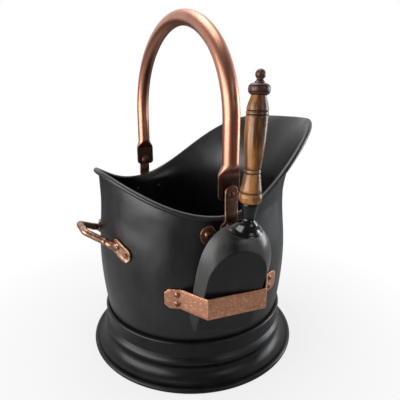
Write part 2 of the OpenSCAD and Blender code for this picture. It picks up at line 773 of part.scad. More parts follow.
module shovel_frame() {
    rotate([0, 0, holder_a + 90]) translate([tip_side, -tip_r, tip_z])
        rotate([0, 0, pan_turn]) rotate([pan_lean, 0, 0]) rotate([0, pan_tilt, 0]) children();
}

arch_z = pan_l - pan_arch_l;
tang_end = 5;         // length of the rod inside the finial
side_steps = 7;
arch_steps = 18;

// Places round the flat: up one side, over the arch, down the other side.
// Each is [x, z, outward x, outward z, how far up the hood it is, how full the wall is].
function pan_side(i, s) =
    let (z = arch_z * pow(i / side_steps, 1.5), t = min(1, z / tip_l))
    [s * pan_w / 2, z, s, 0, 0, max(0.06, sqrt(1 - pow(1 - t, 2)))];
function pan_arch(i) =
    let (a = 180 - i * 180 / arch_steps,
         n = unit([cos(a) / (pan_w / 2), sin(a) / pan_arch_l]))
    [cos(a) * pan_w / 2, arch_z + sin(a) * pan_arch_l, n[0], n[1], pow(sin(a), 2), 1];
pan_places = concat(
    [for (i = [0:side_steps - 1]) pan_side(i, -1)],
    [for (i = [0:arch_steps]) pan_arch(i)],
    [for (i = [side_steps - 1:-1:0]) pan_side(i, 1)]);

// A point of the wall: k goes from the fold to the rim, t is the depth into the sheet.
function pan_wall(p, k, t) =
    let (flare = pan_flare + pan_grow * min(1, p[1] / arch_z),
         out = mix(flare, hood_l, p[4]) * p[5],
         deep = mix(pan_depth, hood_depth, p[4]) * p[5],
         bow = 0.7 * p[4],
         go = mix(k, sin(90 * k), bow) * out, down = mix(k, 1 - cos(90 * k), bow) * deep,
         dgo = mix(1, cos(90 * k) * PI / 2, bow) * out,
         ddown = mix(1, sin(90 * k) * PI / 2, bow) * deep,
         l = norm([dgo, ddown]),
         fold = k == 0 ? t * (l - dgo) / ddown : t * ddown / l,
         lift = k == 0 ? t : t * dgo / l)
    [p[0] + p[2] * (go - fold), down + lift, p[1] + p[3] * (go - fold)];

wall_steps = 4;
module pan_solid(t) {
    n = len(pan_places);
    m = wall_steps + 1;
    outer = [for (p = pan_places, k = [0:wall_steps]) pan_wall(p, k / wall_steps, 0)];
    inner = [for (p = pan_places, k = [0:wall_steps]) pan_wall(p, k / wall_steps, t)];
    o = n * m;
    polyhedron(
        points = concat(outer, inner),
        faces = concat(
            [[for (i = [0:n - 1]) i * m]],
            [[for (i = [n - 1:-1:0]) o + i * m]],
            [for (i = [0:n - 2], k = [0:wall_steps - 1])
                let (a = i * m + k, b = a + 1, c = a + m + 1, d = a + m)
                each [[a, b, c], [a, c, d], [o + c, o + b, o + a], [o + d, o + c, o + a]]],
            [for (i = [0:n - 2])
                let (a = i * m + wall_steps, d = a + m)
                each [[a, o + a, o + d], [a, o + d, d]]],
            [for (k = [0:wall_steps - 1])
                let (a = k, e = (n - 1) * m + k)
                each [[a, o + a, o + a + 1], [a, o + a + 1, a + 1],
                      [e, e + 1, o + e + 1], [e, o + e + 1, o + e]]],
            [[0, (n - 1) * m, o + (n - 1) * m], [0, o + (n - 1) * m, o]]));
}

// The handle's own frame: the bottom of the grip, +Z along the handle.
module handle_frame() {
    shovel_frame() translate([0, 0, pan_l]) rotate([-pan_lean, -handle_set, 0])
        translate([0, 0, grip_rise]) children();
}

module shovel_pan() {
    color([0.11, 0.11, 0.12])
    shovel_frame() pan_solid(pan_t);
}

module shovel_socket() {
    mouth_h = 3.5;
    neck_h = 18;
    skirt_h = 31;
    socket_h = 37;
    neck_r0 = socket_r * 0.67;
    color([0.04, 0.04, 0.05])
    difference() {
        handle_frame() rotate_extrude() polygon(concat(
            [[0, 0], [socket_r - 0.8, 0], [socket_r, -0.8]],
            [for (i = [0:5]) let (t = i / 5)
                [mix(socket_r, neck_r0, ease(t)), -mix(mouth_h, neck_h, t)]],
            [for (i = [1:6]) let (t = i / 6)
                [mix(neck_r0, skirt_r, ease(pow(t, 0.9))), -mix(neck_h, skirt_h, pow(t, 1.2))]],
            [[skirt_r, -skirt_h - 1], [skirt_r - 1, -skirt_h - 2], [0, -socket_h]]));
        handle_frame() translate([0, 0, -tang_depth - hole_gap])
            cylinder(r = tang_r + hole_gap, h = through);
        shovel_frame() hood_block();
    }
}

// All that lies under the hood's outside, grown by the seat gap, for cutting a seat on it.
module hood_block() {
    n = len(pan_places);
    m = wall_steps + 1;
    back = hood_depth + through;
    rims = [for (p = pan_places, k = [0:wall_steps]) pan_wall(p, k / wall_steps, -seat_gap)];
    backs = [for (p = pan_places) let (q = pan_wall(p, 1, -seat_gap)) [q[0], back, q[2]]];
    polyhedron(
        points = concat(rims, backs),
        faces = concat(
            [[for (i = [0:n - 1]) i * m], [for (i = [n - 1:-1:0]) n * m + i]],
            [for (i = [0:n - 2], k = [0:wall_steps - 1])
                let (a = i * m + k, b = a + 1, c = a + m + 1, d = a + m)
                each [[a, b, c], [a, c, d]]],
            [for (i = [0:n - 2])
                let (a = i * m + wall_steps, d = a + m, b = n * m + i)
                each [[a, b, b + 1], [a, b + 1, d]]],
            [concat([for (k = [wall_steps:-1:0]) k],
                    [for (k = [0:wall_steps]) (n - 1) * m + k], [n * m + n - 1, n * m])]));
}

// The rod that ties the socket, grip, collar and finial together.
module shovel_tang() {
    color([0.35, 0.35, 0.37])
    handle_frame() translate([0, 0, -tang_depth])
        cylinder(r = tang_r, h = tang_depth + grip_l + cap_h + tang_end);
}

// The turned wooden grip, bored for the rod.
// Half the outline: each pair is a share of the grip's length and a radius.
function grip_outline() = [
    [0, grip_r * 0.84], [0.02, grip_r * 0.97], [0.05, grip_r * 1.02], [0.085, grip_r * 0.98],
    [0.095, grip_r * 0.92], [0.10, grip_r * 0.92 - groove_d], [0.11, grip_r * 0.92],
    [0.15, grip_r * 0.87], [0.22, mix(grip_waist_r, grip_r, 0.28)],
    [0.28, grip_waist_r + 0.1], [0.288, grip_waist_r + 0.1 - groove_d], [0.296, grip_waist_r + 0.1],
    [0.318, grip_waist_r], [0.326, grip_waist_r - groove_d], [0.334, grip_waist_r],
    [0.40, mix(grip_waist_r, bulge_r, 0.15)], [0.50, mix(grip_waist_r, bulge_r, 0.55)],
    [0.60, mix(grip_waist_r, bulge_r, 0.85)], [0.70, mix(grip_waist_r, bulge_r, 0.97)],
    [0.78, bulge_r], [0.82, bulge_r], [0.828, bulge_r - groove_d],
    [0.836, bulge_r], [0.856, bulge_r * 0.985], [0.864, bulge_r * 0.98 - groove_d],
    [0.872, bulge_r * 0.97], [0.93, bulge_r * 0.87], [0.975, bulge_r * 0.73], [1, bulge_r * 0.68]];
module shovel_grip() {
    color([0.45, 0.22, 0.10])
    handle_frame() translate([0, 0, seat_gap]) difference() {
        rotate_extrude() polygon(concat(
            [[0, 0]], [for (p = grip_outline()) [p[1], p[0] * grip_l]], [[0, grip_l]]));
        cylinder(r = tang_r + hole_gap, h = 3 * grip_l, center = true);
    }
}

// The dark turned collar above the grip.
module shovel_collar() {
    rim = cap_r - 1.5;
    color([0.25, 0.10, 0.05])
    handle_frame() translate([0, 0, grip_l + 2 * seat_gap]) difference() {
        rotate_extrude() polygon([
            [0, 0], [rim - 2, 0], [rim, 1.2], [cap_r - 0.3, 3], [cap_r, cap_h * 0.5],
            [cap_r - 0.3, cap_h - 3], [rim, cap_h - 1.2], [rim - 2, cap_h], [0, cap_h]]);
        cylinder(r = tang_r + hole_gap, h = 3 * cap_h, center = true);
    }
}

// The finial: a small cup, a neck and a ball, bored for the rod's end.
module shovel_finial() {
    cup_h = 2.2;
    neck_h = 1.6;
    neck_r1 = ball_r * 0.75;
    color([0.25, 0.10, 0.05])
    handle_frame() translate([0, 0, grip_l + cap_h + 3 * seat_gap]) difference() {
        union() {
            rotate_extrude() polygon([
                [0, 0], [ball_r, 0], [ball_r, cup_h * 0.6], [neck_r1, cup_h],
                [neck_r1 - 0.4, cup_h + neck_h / 2], [neck_r1, cup_h + neck_h],
                [0, cup_h + neck_h + 1]]);
            translate([0, 0, cup_h + neck_h + ball_r - 1]) sphere(r = ball_r);
        }
        translate([0, 0, -1]) cylinder(r = tang_r + hole_gap, h = tang_end + 1 + 2 * seat_gap);
    }
}

body_shell();
rim_wire();
base_pan();
foot_ring();
foot_wire();
ear_near();
ear_far();
ear_rivets_near();
ear_rivets_far();
pivot_pin_near();
pivot_pin_far();
bail();
rear_handle();
rear_handle_rivets();
shovel_holder();
holder_rivets();
shovel_pan();
shovel_socket();
shovel_tang();
shovel_grip();
shovel_collar();
shovel_finial();
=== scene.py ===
# The looks of the coal scuttle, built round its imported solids.
# Lengths are written in millimetres and turned into metres where a mesh is made.
from math import (asin, atan, atan2, copysign, cos, degrees, exp, hypot, pi, radians,
                  sin, sqrt, tan, tau)

import bpy
from mathutils import Matrix, Vector


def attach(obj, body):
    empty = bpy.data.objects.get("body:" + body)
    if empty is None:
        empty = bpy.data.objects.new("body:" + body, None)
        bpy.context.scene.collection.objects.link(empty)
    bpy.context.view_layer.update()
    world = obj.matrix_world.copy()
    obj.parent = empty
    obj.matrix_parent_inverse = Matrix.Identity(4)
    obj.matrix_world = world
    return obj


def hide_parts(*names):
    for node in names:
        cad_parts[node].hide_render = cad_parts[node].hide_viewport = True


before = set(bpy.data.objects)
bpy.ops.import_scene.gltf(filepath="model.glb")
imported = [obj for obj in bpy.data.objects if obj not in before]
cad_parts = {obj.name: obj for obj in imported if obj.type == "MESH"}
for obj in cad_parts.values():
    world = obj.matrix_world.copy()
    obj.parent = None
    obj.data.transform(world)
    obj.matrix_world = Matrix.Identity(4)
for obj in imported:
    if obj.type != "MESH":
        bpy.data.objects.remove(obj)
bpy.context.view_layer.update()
bpy.context.scene.view_settings.view_transform = "Standard"

MM = 0.001
SEAT = 0.15         # clearance between a fitted piece and what carries it
NEAR, FAR = -1, 1   # the shovel's side of the body, and the other one
SIDES = ((NEAR, "near"), (FAR, "far"))


# ---- camera, floor and light ----

def set_camera():
    """The lens, the axes and the place are fitted to the photograph."""
    lens = bpy.data.cameras.new("camera")
    lens.sensor_width = 36
    lens.lens = 33.316
    lens.clip_start = 0.01
    camera = bpy.data.objects.new("camera", lens)
    right = Vector((0.88494, -0.46571, -0.00054))
    up = Vector((0.12425, 0.23498, 0.96403))
    ahead = Vector((0.44883, 0.85317, -0.26581))
    stand = Matrix((right, up, -ahead)).transposed().to_4x4()
    stand.translation = Vector((-0.231479, -0.464619, 0.346453))
    camera.matrix_world = stand
    bpy.context.scene.collection.objects.link(camera)
    bpy.context.scene.camera = camera


def set_softbox(name, at, width, height, watts, colour):
    """A rectangular lamp that faces the middle of the object."""
    light = bpy.data.lights.new(name, "AREA")
    light.shape = "RECTANGLE"
    light.size, light.size_y = width, height
    light.energy = watts
    light.color = colour
    box = bpy.data.objects.new(name, light)
    box.location = at
    box.rotation_mode = "QUATERNION"
    box.rotation_quaternion = (Vector((0, 0, 0.2)) - Vector(at)).to_track_quat("-Z", "Y")
    bpy.context.scene.collection.objects.link(box)


# ---- node helpers ----

def add(tree, kind, inputs=None, **settings):
    """A new node: an input that is a socket is linked, any other value is set."""
    node = tree.nodes.new(kind)
    for key, value in settings.items():
        setattr(node, key, value)
    for key, value in (inputs or {}).items():
        if isinstance(value, bpy.types.NodeSocket):
            tree.links.new(value, node.inputs[key])
        else:
            node.inputs[key].default_value = value
    return node


def blend_colour(tree, share, first, second, mode="MIX"):
    node = add(tree, "ShaderNodeMix", {0: share, 6: first, 7: second}, data_type="RGBA",
               blend_type=mode)
    return node.outputs[2]


def span(tree, value, low, high, to_low=0.0, to_high=1.0):
    return add(tree, "ShaderNodeMapRange",
               {0: value, 1: low, 2: high, 3: to_low, 4: to_high}).outputs[0]


def maths(tree, what, a, b):
    return add(tree, "ShaderNodeMath", {0: a, 1: b}, operation=what).outputs[0]


def weighted(tree, a, share_a, b, share_b):
    return maths(tree, "ADD", maths(tree, "MULTIPLY", a, share_a),
                 maths(tree, "MULTIPLY", b, share_b))


def noise(tree, where, scale, detail=3.0, rough=0.5):
    return add(tree, "ShaderNodeTexNoise",
               {"Vector": where, "Scale": scale, "Detail": detail, "Roughness": rough}).outputs[0]


def place_of(tree, turn=(0, 0, 0), stretch=(1, 1, 1)):
    where = add(tree, "ShaderNodeTexCoord").outputs["Object"]
    return add(tree, "ShaderNodeMapping",
               {"Vector": where, "Rotation": turn, "Scale": stretch}).outputs[0]


def new_group(name, inputs, outputs):
    group = bpy.data.node_groups.new(name, "ShaderNodeTree")
    for label, kind, value in inputs:
        socket = group.interface.new_socket(label, in_out="INPUT", socket_type=kind)
        socket.default_value = value
    for label, kind in outputs:
        group.interface.new_socket(label, in_out="OUTPUT", socket_type=kind)
    return group, add(group, "NodeGroupInput"), add(group, "NodeGroupOutput")


NUMBER, COLOUR, ARROW = "NodeSocketFloat", "NodeSocketColor", "NodeSocketVector"


def make_edge_wear():
    """Where a round laid over the edges turns away from the surface: bright, rubbed edges."""
    group, given, out = new_group(
        "edge_wear", [("Width", NUMBER, 0.001), ("Place", ARROW, (0, 0, 0))], [("Mask", NUMBER)])
    rounded = add(group, "ShaderNodeBevel", {"Radius": given.outputs["Width"]}, samples=6)
    flat = add(group, "ShaderNodeNewGeometry").outputs["Normal"]
    same = add(group, "ShaderNodeVectorMath", {0: rounded.outputs[0], 1: flat},
               operation="DOT_PRODUCT").outputs["Value"]
    edge = span(group, same, 0.995, 0.93)
    broken = span(group, noise(group, given.outputs["Place"], 260, 4), 0.35, 0.6, 0.35, 1.0)
    group.links.new(maths(group, "MULTIPLY", edge, broken), out.inputs["Mask"])
    return group


def make_patina():
    """Clouds of dark tarnish over a bright metal, with fine specks in them."""
    group, given, out = new_group(
        "patina",
        [("Place", ARROW, (0, 0, 0)), ("Scale", NUMBER, 60.0), ("Tarnish", NUMBER, 0.5),
         ("Bright", COLOUR, (0.7, 0.4, 0.3, 1)), ("Dark", COLOUR, (0.1, 0.05, 0.03, 1))],
        [("Color", COLOUR), ("Tarnished", NUMBER)])
    where, scale = given.outputs["Place"], given.outputs["Scale"]
    clouds = noise(group, where, scale, 5, 0.6)
    specks = noise(group, where, maths(group, "MULTIPLY", scale, 9.0), 2, 0.6)
    both = weighted(group, clouds, 0.72, specks, 0.28)
    pushed = maths(group, "ADD", both, maths(group, "SUBTRACT", given.outputs["Tarnish"], 0.5))
    mask = span(group, pushed, 0.34, 0.68)
    colour = blend_colour(group, mask, given.outputs["Bright"], given.outputs["Dark"])
    group.links.new(colour, out.inputs["Color"])
    group.links.new(mask, out.inputs["Tarnished"])
    return group


def make_hammered():
    """Shallow round hammer marks with a fine grain, as a height."""
    group, given, out = new_group(
        "hammered", [("Place", ARROW, (0, 0, 0)), ("Scale", NUMBER, 250.0),
                     ("Grain", NUMBER, 0.3)], [("Height", NUMBER)])
    where, scale = given.outputs["Place"], given.outputs["Scale"]
    marks = add(group, "ShaderNodeTexVoronoi", {"Vector": where, "Scale": scale},
                feature="SMOOTH_F1").outputs["Distance"]
    grain = noise(group, where, maths(group, "MULTIPLY", scale, 3.2), 3, 0.6)
    total = maths(group, "ADD", marks, maths(group, "MULTIPLY", grain, given.outputs["Grain"]))
    group.links.new(total, out.inputs["Height"])
    return group


def make_waves():
    """Slow waves of hand-worked sheet with a fine paint grain over them, as a height."""
    group, given, out = new_group(
        "sheet_waves", [("Place", ARROW, (0, 0, 0)), ("Wave", NUMBER, 20.0),
                        ("Grain", NUMBER, 0.05)], [("Height", NUMBER)])
    where = given.outputs["Place"]
    slow = noise(group, where, given.outputs["Wave"], 1, 0.4)
    fine = noise(group, where, 900, 2, 0.5)
    total = maths(group, "ADD", slow, maths(group, "MULTIPLY", fine, given.outputs["Grain"]))
    group.links.new(total, out.inputs["Height"])
    return group


EDGE_WEAR, PATINA = make_edge_wear(), make_patina()
HAMMERED, WAVES = make_hammered(), make_waves()


def grouped(tree, group, **inputs):
    return add(tree, "ShaderNodeGroup", inputs, node_tree=group).outputs


def new_material(name, plain=None):
    """A new material; the plain values are set on its shader's own sockets."""
    material = bpy.data.materials.new(name)
    material.use_nodes = True
    tree = material.node_tree
    shader = tree.nodes["Principled BSDF"]
    for key, value in (plain or {}).items():
        shader.inputs[key].default_value = value
    return material, tree, shader


def feed(tree, shader, colour, rough):
    tree.links.new(colour, shader.inputs["Base Color"])
    tree.links.new(rough, shader.inputs["Roughness"])


def bump(tree, shader, height, depth):
    node = add(tree, "ShaderNodeBump", {"Height": height, "Distance": depth, "Strength": 1.0})
    tree.links.new(node.outputs[0], shader.inputs["Normal"])


def worn(tree, where, colour, width, share, bare):
    """The colour, with a share of the bare one along edges of this width."""
    edge = grouped(tree, EDGE_WEAR, Width=width, Place=where)["Mask"]
    return blend_colour(tree, maths(tree, "MULTIPLY", edge, share), colour, bare)


# ---- materials ----

def satin_black(name, rough, wave, depth, dark=(0.0022, 0.0024, 0.0028, 1),
                light=(0.0060, 0.0064, 0.0074, 1), shine=0.5, wear_and_sheen=None):
    """Baked satin paint over worked sheet; where the attribute asks, a paler colour paints sheen
    and shade.
    """
    material, tree, shader = new_material(name, {"Specular IOR Level": shine})
    where = place_of(tree)
    clouds = noise(tree, place_of(tree, stretch=(1, 1, 0.55)), 24, 4, 0.6)
    dust = noise(tree, where, 420, 3, 0.6)
    tone = weighted(tree, clouds, 0.8, dust, 0.2)
    colour = blend_colour(tree, span(tree, tone, 0.36, 0.64), dark, light)
    # the paler colour from the attribute is a painted sheen and painted shade on the shovel's
    # walls and hood
    if wear_and_sheen:
        share = add(tree, "ShaderNodeAttribute", attribute_name="wear_and_sheen").outputs["Fac"]
        share = maths(tree, "MULTIPLY", share, span(tree, clouds, 0.35, 0.62, 0.45, 1.0))
        colour = blend_colour(tree, share, colour, wear_and_sheen)
    feed(tree, shader, worn(tree, where, colour, 0.0009, 0.35, (0.10, 0.10, 0.105, 1)),
         span(tree, tone, 0.36, 0.64, rough - 0.09, rough + 0.08))
    bump(tree, shader, grouped(tree, WAVES, Place=where, Wave=wave, Grain=0.035)["Height"], depth)
    return material


def antique_copper(name, scale, tarnish, bright, dark, rough, marks, marks_scale, wear,
                   grain=0.3):
    """Copper that has been darkened and rubbed bright again on what stands out."""
    material, tree, shader = new_material(name, {"Metallic": 1.0})
    where = place_of(tree)
    skin = grouped(tree, PATINA, Place=where, Scale=scale, Tarnish=tarnish, Bright=bright,
                   Dark=dark)
    height = grouped(tree, HAMMERED, Place=where, Scale=marks_scale, Grain=grain)["Height"]
    low = span(tree, height, 0.15, 0.6, 1.0, 0.58)
    colour = blend_colour(tree, 1.0, skin["Color"], low, "MULTIPLY")
    wear_and_sheen = tuple(min(1.0, c * 1.25) for c in bright[:3]) + (1,)
    feed(tree, shader, worn(tree, where, colour, wear, 0.8, wear_and_sheen),
         span(tree, skin["Tarnished"], 0.0, 1.0, rough, rough + 0.2))
    bump(tree, shader, height, marks)
    return material


def bail_copper():
    """Brushed copper tube, tarnished dark towards its flattened ends."""
    bright_z, dark_z, ragged_h = 0.286, 0.270, 0.016   # in metres, as the coordinates are
    material, tree, shader = new_material(
        "brushed_copper_tube", {"Metallic": 1.0, "Coat Weight": 0.15, "Coat Roughness": 0.25})
    where = place_of(tree)
    skin = grouped(tree, PATINA, Place=where, Scale=22.0, Tarnish=0.40,
                   Bright=(0.50, 0.228, 0.148, 1), Dark=(0.34, 0.141, 0.090, 1))
    fine = noise(tree, place_of(tree, stretch=(1, 1, 0.06)), 700, 3, 0.6)
    colour = blend_colour(tree, span(tree, fine, 0.3, 0.7, 0.0, 0.25), skin["Color"],
                          (0.48, 0.19, 0.125, 1))
    height = add(tree, "ShaderNodeSeparateXYZ", {0: where}).outputs["Z"]
    ragged = maths(tree, "ADD", height,
                   maths(tree, "MULTIPLY", noise(tree, where, 90, 4, 0.6), ragged_h))
    ends = span(tree, ragged, bright_z, dark_z)
    colour = blend_colour(tree, ends, colour, (0.062, 0.035, 0.027, 1))
    rough = maths(tree, "ADD", span(tree, skin["Tarnished"], 0, 1, 0.34, 0.42),
                  maths(tree, "MULTIPLY", ends, 0.06))
    feed(tree, shader, worn(tree, where, colour, 0.0007, 0.6, (0.62, 0.33, 0.22, 1)), rough)
    bump(tree, shader, fine, 0.000015)
    return material


def stained_wood(name, axis_turn, light, dark, rough):
    """Turned wood with grain along the handle; the attribute 'stain' darkens its grooves."""
    groove = (0.008, 0.004, 0.003, 1)
    material, tree, shader = new_material(
        name, {"Specular IOR Level": 0.36, "Coat Weight": 0.08, "Coat Roughness": 0.18})
    along = place_of(tree, turn=axis_turn, stretch=(1, 1, 0.07))
    grain = noise(tree, along, 230, 6, 0.65)
    figure = noise(tree, along, 60, 3, 0.5)
    tone = weighted(tree, grain, 0.55, figure, 0.45)
    colour = blend_colour(tree, span(tree, tone, 0.43, 0.58), dark, light)
    pore = span(tree, noise(tree, along, 1400, 2), 0.36, 0.30, 0.0, 0.7)
    colour = blend_colour(tree, pore, colour, groove)
    stain = add(tree, "ShaderNodeAttribute", attribute_name="stain").outputs["Fac"]
    feed(tree, shader, blend_colour(tree, stain, colour, groove),
         span(tree, tone, 0.3, 0.7, rough + 0.08, rough - 0.02))
    bump(tree, shader, maths(tree, "ADD", grain, pore), 0.00008)
    return material


def gloss_black():
    """Thick glossy enamel."""
    material, tree, shader = new_material("gloss_black_enamel")
    where = place_of(tree)
    tone = noise(tree, where, 60, 3, 0.5)
    colour = blend_colour(tree, tone, (0.0015, 0.0015, 0.0018, 1), (0.004, 0.004, 0.0046, 1))
    feed(tree, shader, worn(tree, where, colour, 0.0008, 0.3, (0.10, 0.10, 0.10, 1)),
         span(tree, tone, 0.3, 0.7, 0.12, 0.22))
    bump(tree, shader, grouped(tree, WAVES, Place=where, Wave=120.0, Grain=0.1)["Height"],
         0.00025)
    return material


def bare_wire():
    """Drawn iron wire with a dull oxide."""
    material, tree, shader = new_material("drawn_wire", {"Metallic": 1.0})
    where = place_of(tree)
    skin = grouped(tree, PATINA, Place=where, Scale=120.0, Tarnish=0.5,
                   Bright=(0.22, 0.22, 0.225, 1), Dark=(0.06, 0.052, 0.048, 1))
    feed(tree, shader, skin["Color"], span(tree, skin["Tarnished"], 0, 1, 0.38, 0.62))
    bump(tree, shader, noise(tree, where, 1500, 2), 0.00002)
    return material


# ---- outline of the body, as in the solids ----
# An angle is counted in degrees from the middle of the spout, the same way on both sides.

BODY_Z, BODY_R, BELLY_Z, BELLY_R, NECK_Z, NECK_R = 44, 123, 140, 132.8, 222, 127.6
SHEET, BEAD_R = 1.0, 3.4
SPOUT_Z, WAIST_Z, BACK_Z = 315.3, 217.5, 257
SPOUT_R, SIDE_R, HIP_R, BACK_R = 170, 137, 127.5, 131.5
SPOUT_A, SIDE_A, WAIST_A, HIP_A, BACK_A = 20, 83, 105, 135, 180
FLARE_WAIST_Z, FLARE_SPOUT_Z, FLARE_BEND = 209.5, 224, 1.8


def ease(t):
    return (1 - cos(pi * min(1, max(0, t)))) / 2


def mix(a, b, t):
    return a + (b - a) * t


def wall_r(z):
    if z < BELLY_Z:
        return BELLY_R - (BELLY_R - BODY_R) * ((BELLY_Z - z) / (BELLY_Z - BODY_Z)) ** 2
    return mix(BELLY_R, NECK_R, ease((z - BELLY_Z) / (NECK_Z - BELLY_Z)))


def rim_z(a):
    if a < WAIST_A:
        return mix(WAIST_Z, SPOUT_Z, ease((WAIST_A - a) / (WAIST_A - SPOUT_A)))
    return mix(WAIST_Z, BACK_Z, ease((a - WAIST_A) / (BACK_A - WAIST_A)))


def rim_r(a):
    if a < SIDE_A:
        return mix(SIDE_R, SPOUT_R, ease(1 - a / SIDE_A))
    if a < HIP_A:
        return mix(HIP_R, SIDE_R, ease((HIP_A - a) / (HIP_A - SIDE_A)))
    return mix(HIP_R, BACK_R, ease((a - HIP_A) / (BACK_A - HIP_A)))


def flare_z(a):
    return mix(FLARE_WAIST_Z, FLARE_SPOUT_Z, (rim_z(a) - WAIST_Z) / (SPOUT_Z - WAIST_Z))


def rim_lean(a):
    return atan(FLARE_BEND * (rim_r(a) - BEAD_R + SHEET - NECK_R) / (rim_z(a) - flare_z(a)))


def flare_point(a, s, depth):
    """(radius, height) at the share s of the way up the flare, a depth into the sheet."""
    lean = rim_lean(a)
    reach = BEAD_R - SHEET
    top_r = rim_r(a) - reach * cos(lean)
    top_z = rim_z(a) + reach * sin(lean)
    low = flare_z(a)
    rise, out = top_z - low, top_r - wall_r(top_z)
    z = low + s * rise
    here = atan(FLARE_BEND * out * max(s, 1e-6) ** (FLARE_BEND - 1) / rise)
    return (wall_r(z) + out * s ** FLARE_BEND - depth * cos(here),
            z + depth * sin(here))


def curl_point(a, turn, r):
    """(radius, height) on the rolled edge, a turn round the wire's middle."""
    lean = rim_lean(a)
    return (rim_r(a) - r * cos(turn) * cos(lean) + r * sin(turn) * sin(lean),
            rim_z(a) + r * cos(turn) * sin(lean) + r * sin(turn) * cos(lean))


def round_place(point, angle):
    """(radius, height) at an angle round the body, as (x, y, z)."""
    r, z = point
    return (r * cos(radians(angle)), r * sin(radians(angle)), z)


# ---- modelling helpers ----

def clear_choice():
    if bpy.context.object and bpy.context.object.mode != "OBJECT":
        bpy.ops.object.mode_set(mode="OBJECT")
    bpy.ops.object.select_all(action="DESELECT")


def only(piece):
    """Chooses this piece and no other."""
    clear_choice()
    bpy.context.view_layer.objects.active = piece
    piece.select_set(True)


def fresh(name):
    piece = bpy.context.object
    piece.name = name
    piece.data.name = name
    return piece


def smooth(piece, angle):
    only(piece)
    bpy.ops.object.shade_smooth_by_angle(angle=radians(angle))
    return piece


def tidy_mesh(piece, fill=True):
    """Merges doubles, fills open ends and points the faces outwards."""
    only(piece)
    bpy.ops.object.mode_set(mode="EDIT")
    bpy.ops.mesh.select_all(action="SELECT")
    bpy.ops.mesh.remove_doubles(threshold=2e-6)
    if fill:
        bpy.ops.mesh.select_all(action="SELECT")
        bpy.ops.mesh.fill_holes(sides=0)
    bpy.ops.mesh.select_all(action="SELECT")
    bpy.ops.mesh.normals_make_consistent(inside=False)
    bpy.ops.object.mode_set(mode="OBJECT")


def wrapped(name, rows, fill=True, angle=35):
    """A flat grid sheet laid round the piece: each row is a closed line of points on it."""
    across, along = len(rows[0]), len(rows) - 1
    clear_choice()
    bpy.ops.mesh.primitive_grid_add(x_subdivisions=across, y_subdivisions=along, size=2)
    piece = fresh(name)
    for v in piece.data.vertices:
        row = rows[round((v.co.y + 1) / 2 * along)]
        v.co = Vector(row[round((v.co.x + 1) / 2 * across) % across]) * MM
    tidy_mesh(piece, fill)
    return smooth(piece, angle)


def turned(name, outline, sides, place=None):
    """Turned work: a ring is extruded and resized to each (radius, height) of the outline."""
    clear_choice()
    r, z = outline[0]
    bpy.ops.mesh.primitive_circle_add(vertices=sides, radius=r * MM, location=(0, 0, 0))
    piece = fresh(name)
    bpy.ops.object.mode_set(mode="EDIT")
    bpy.ops.mesh.select_all(action="SELECT")
    bpy.ops.transform.translate(value=(0, 0, z * MM))
    for next_r, next_z in outline[1:]:
        bpy.ops.mesh.extrude_region_move(
            TRANSFORM_OT_translate={"value": (0, 0, (next_z - z) * MM)})
        share = next_r / r
        bpy.ops.transform.resize(value=(share, share, 1), center_override=(0, 0, next_z * MM))
        r, z = next_r, next_z
    bpy.ops.object.mode_set(mode="OBJECT")
    tidy_mesh(piece)
    if place is not None:
        piece.data.transform(place)
    return smooth(piece, 35)


def joined(name, pieces):
    only(pieces[0])
    for piece in pieces[1:]:
        piece.select_set(True)
    bpy.ops.object.join()
    return fresh(name)


def shift(x=0.0, y=0.0, z=0.0):
    return Matrix.Translation(Vector((x, y, z)) * MM)


def turn(angle, axis):
    return Matrix.Rotation(radians(angle), 4, axis)


def finished(piece, body, material, slot_name, *nodes):
    """Gives the piece its look and its body, and hides the solid that it stands for."""
    piece.data.materials.clear()
    piece.data.materials.append(material)
    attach(piece, body)
    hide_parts(*nodes)


def arc(x, y, r, angles):
    """Points of a round about (x, y), one at each of the angles."""
    return [(x + r * cos(radians(t)), y + r * sin(radians(t))) for t in angles]


def hoop(centre, across, up, count):
    """A closed ring of points whose half axes are across and up."""
    turns = [tau * j / count for j in range(count)]
    return [tuple(centre + across * cos(t) + up * sin(t)) for t in turns]


def way_at(path, k):
    """The unit way along a flat path at its place k."""
    (x0, y0), (x1, y1) = path[max(0, k - 1)][:2], path[min(len(path) - 1, k + 1)][:2]
    size = hypot(x1 - x0, y1 - y0)
    return (x1 - x0) / size, (y1 - y0) / size


def plate_edge(half, thick, bevel, dish=0.0):
    """Closed section of a plate: (across, out), with rounded edges and a dished face."""
    flat, steps = max(half, bevel * 1.02) - bevel, 6
    low = [(mix(-flat, flat, i / steps), 0.0) for i in range(steps + 1)]
    right = (arc(flat, bevel, bevel, (-60, -30, 0))
             + arc(flat, thick - bevel, bevel, (0, 30, 60)))
    top = [mix(flat, -flat, i / steps) for i in range(steps + 1)]
    top = [(x, thick - dish * (1 - abs(x / flat) ** 5)) for x in top]
    left = [(-x, y) for x, y in reversed(right)]
    return low + right + top + left


# ---- body and foot ----

def body_sheet():
    """One wall: from the bottom seam up outside, round the rolled edge and down inside."""
    columns, wall_steps, flare_steps, curl_steps = 300, 22, 16, 16
    seam_r, curl_turn = 118.0, 300
    turns = [radians(curl_turn * k / curl_steps) for k in range(1, curl_steps + 1)]
    rows = []
    for i in range(columns + 1):
        angle = 360 * i / columns
        a = min(angle, 360 - angle)
        heights = [mix(BODY_Z + SHEET, flare_z(a), k / wall_steps) for k in range(wall_steps)]
        line = [(seam_r, BODY_Z), (seam_r, BODY_Z + SHEET)]
        line += [(wall_r(z), z) for z in heights]
        line += [flare_point(a, k / flare_steps, 0) for k in range(flare_steps + 1)]
        line += [curl_point(a, t, BEAD_R - SHEET) for t in turns]
        line += [curl_point(a, t, BEAD_R) for t in reversed(turns)]
        line += [flare_point(a, k / flare_steps, SHEET) for k in range(flare_steps, -1, -1)]
        line += [(wall_r(z) - SHEET, z) for z in reversed(heights)]
        rows.append([round_place(p, angle) for p in line])
    return wrapped("body_sheet", rows, fill=False)


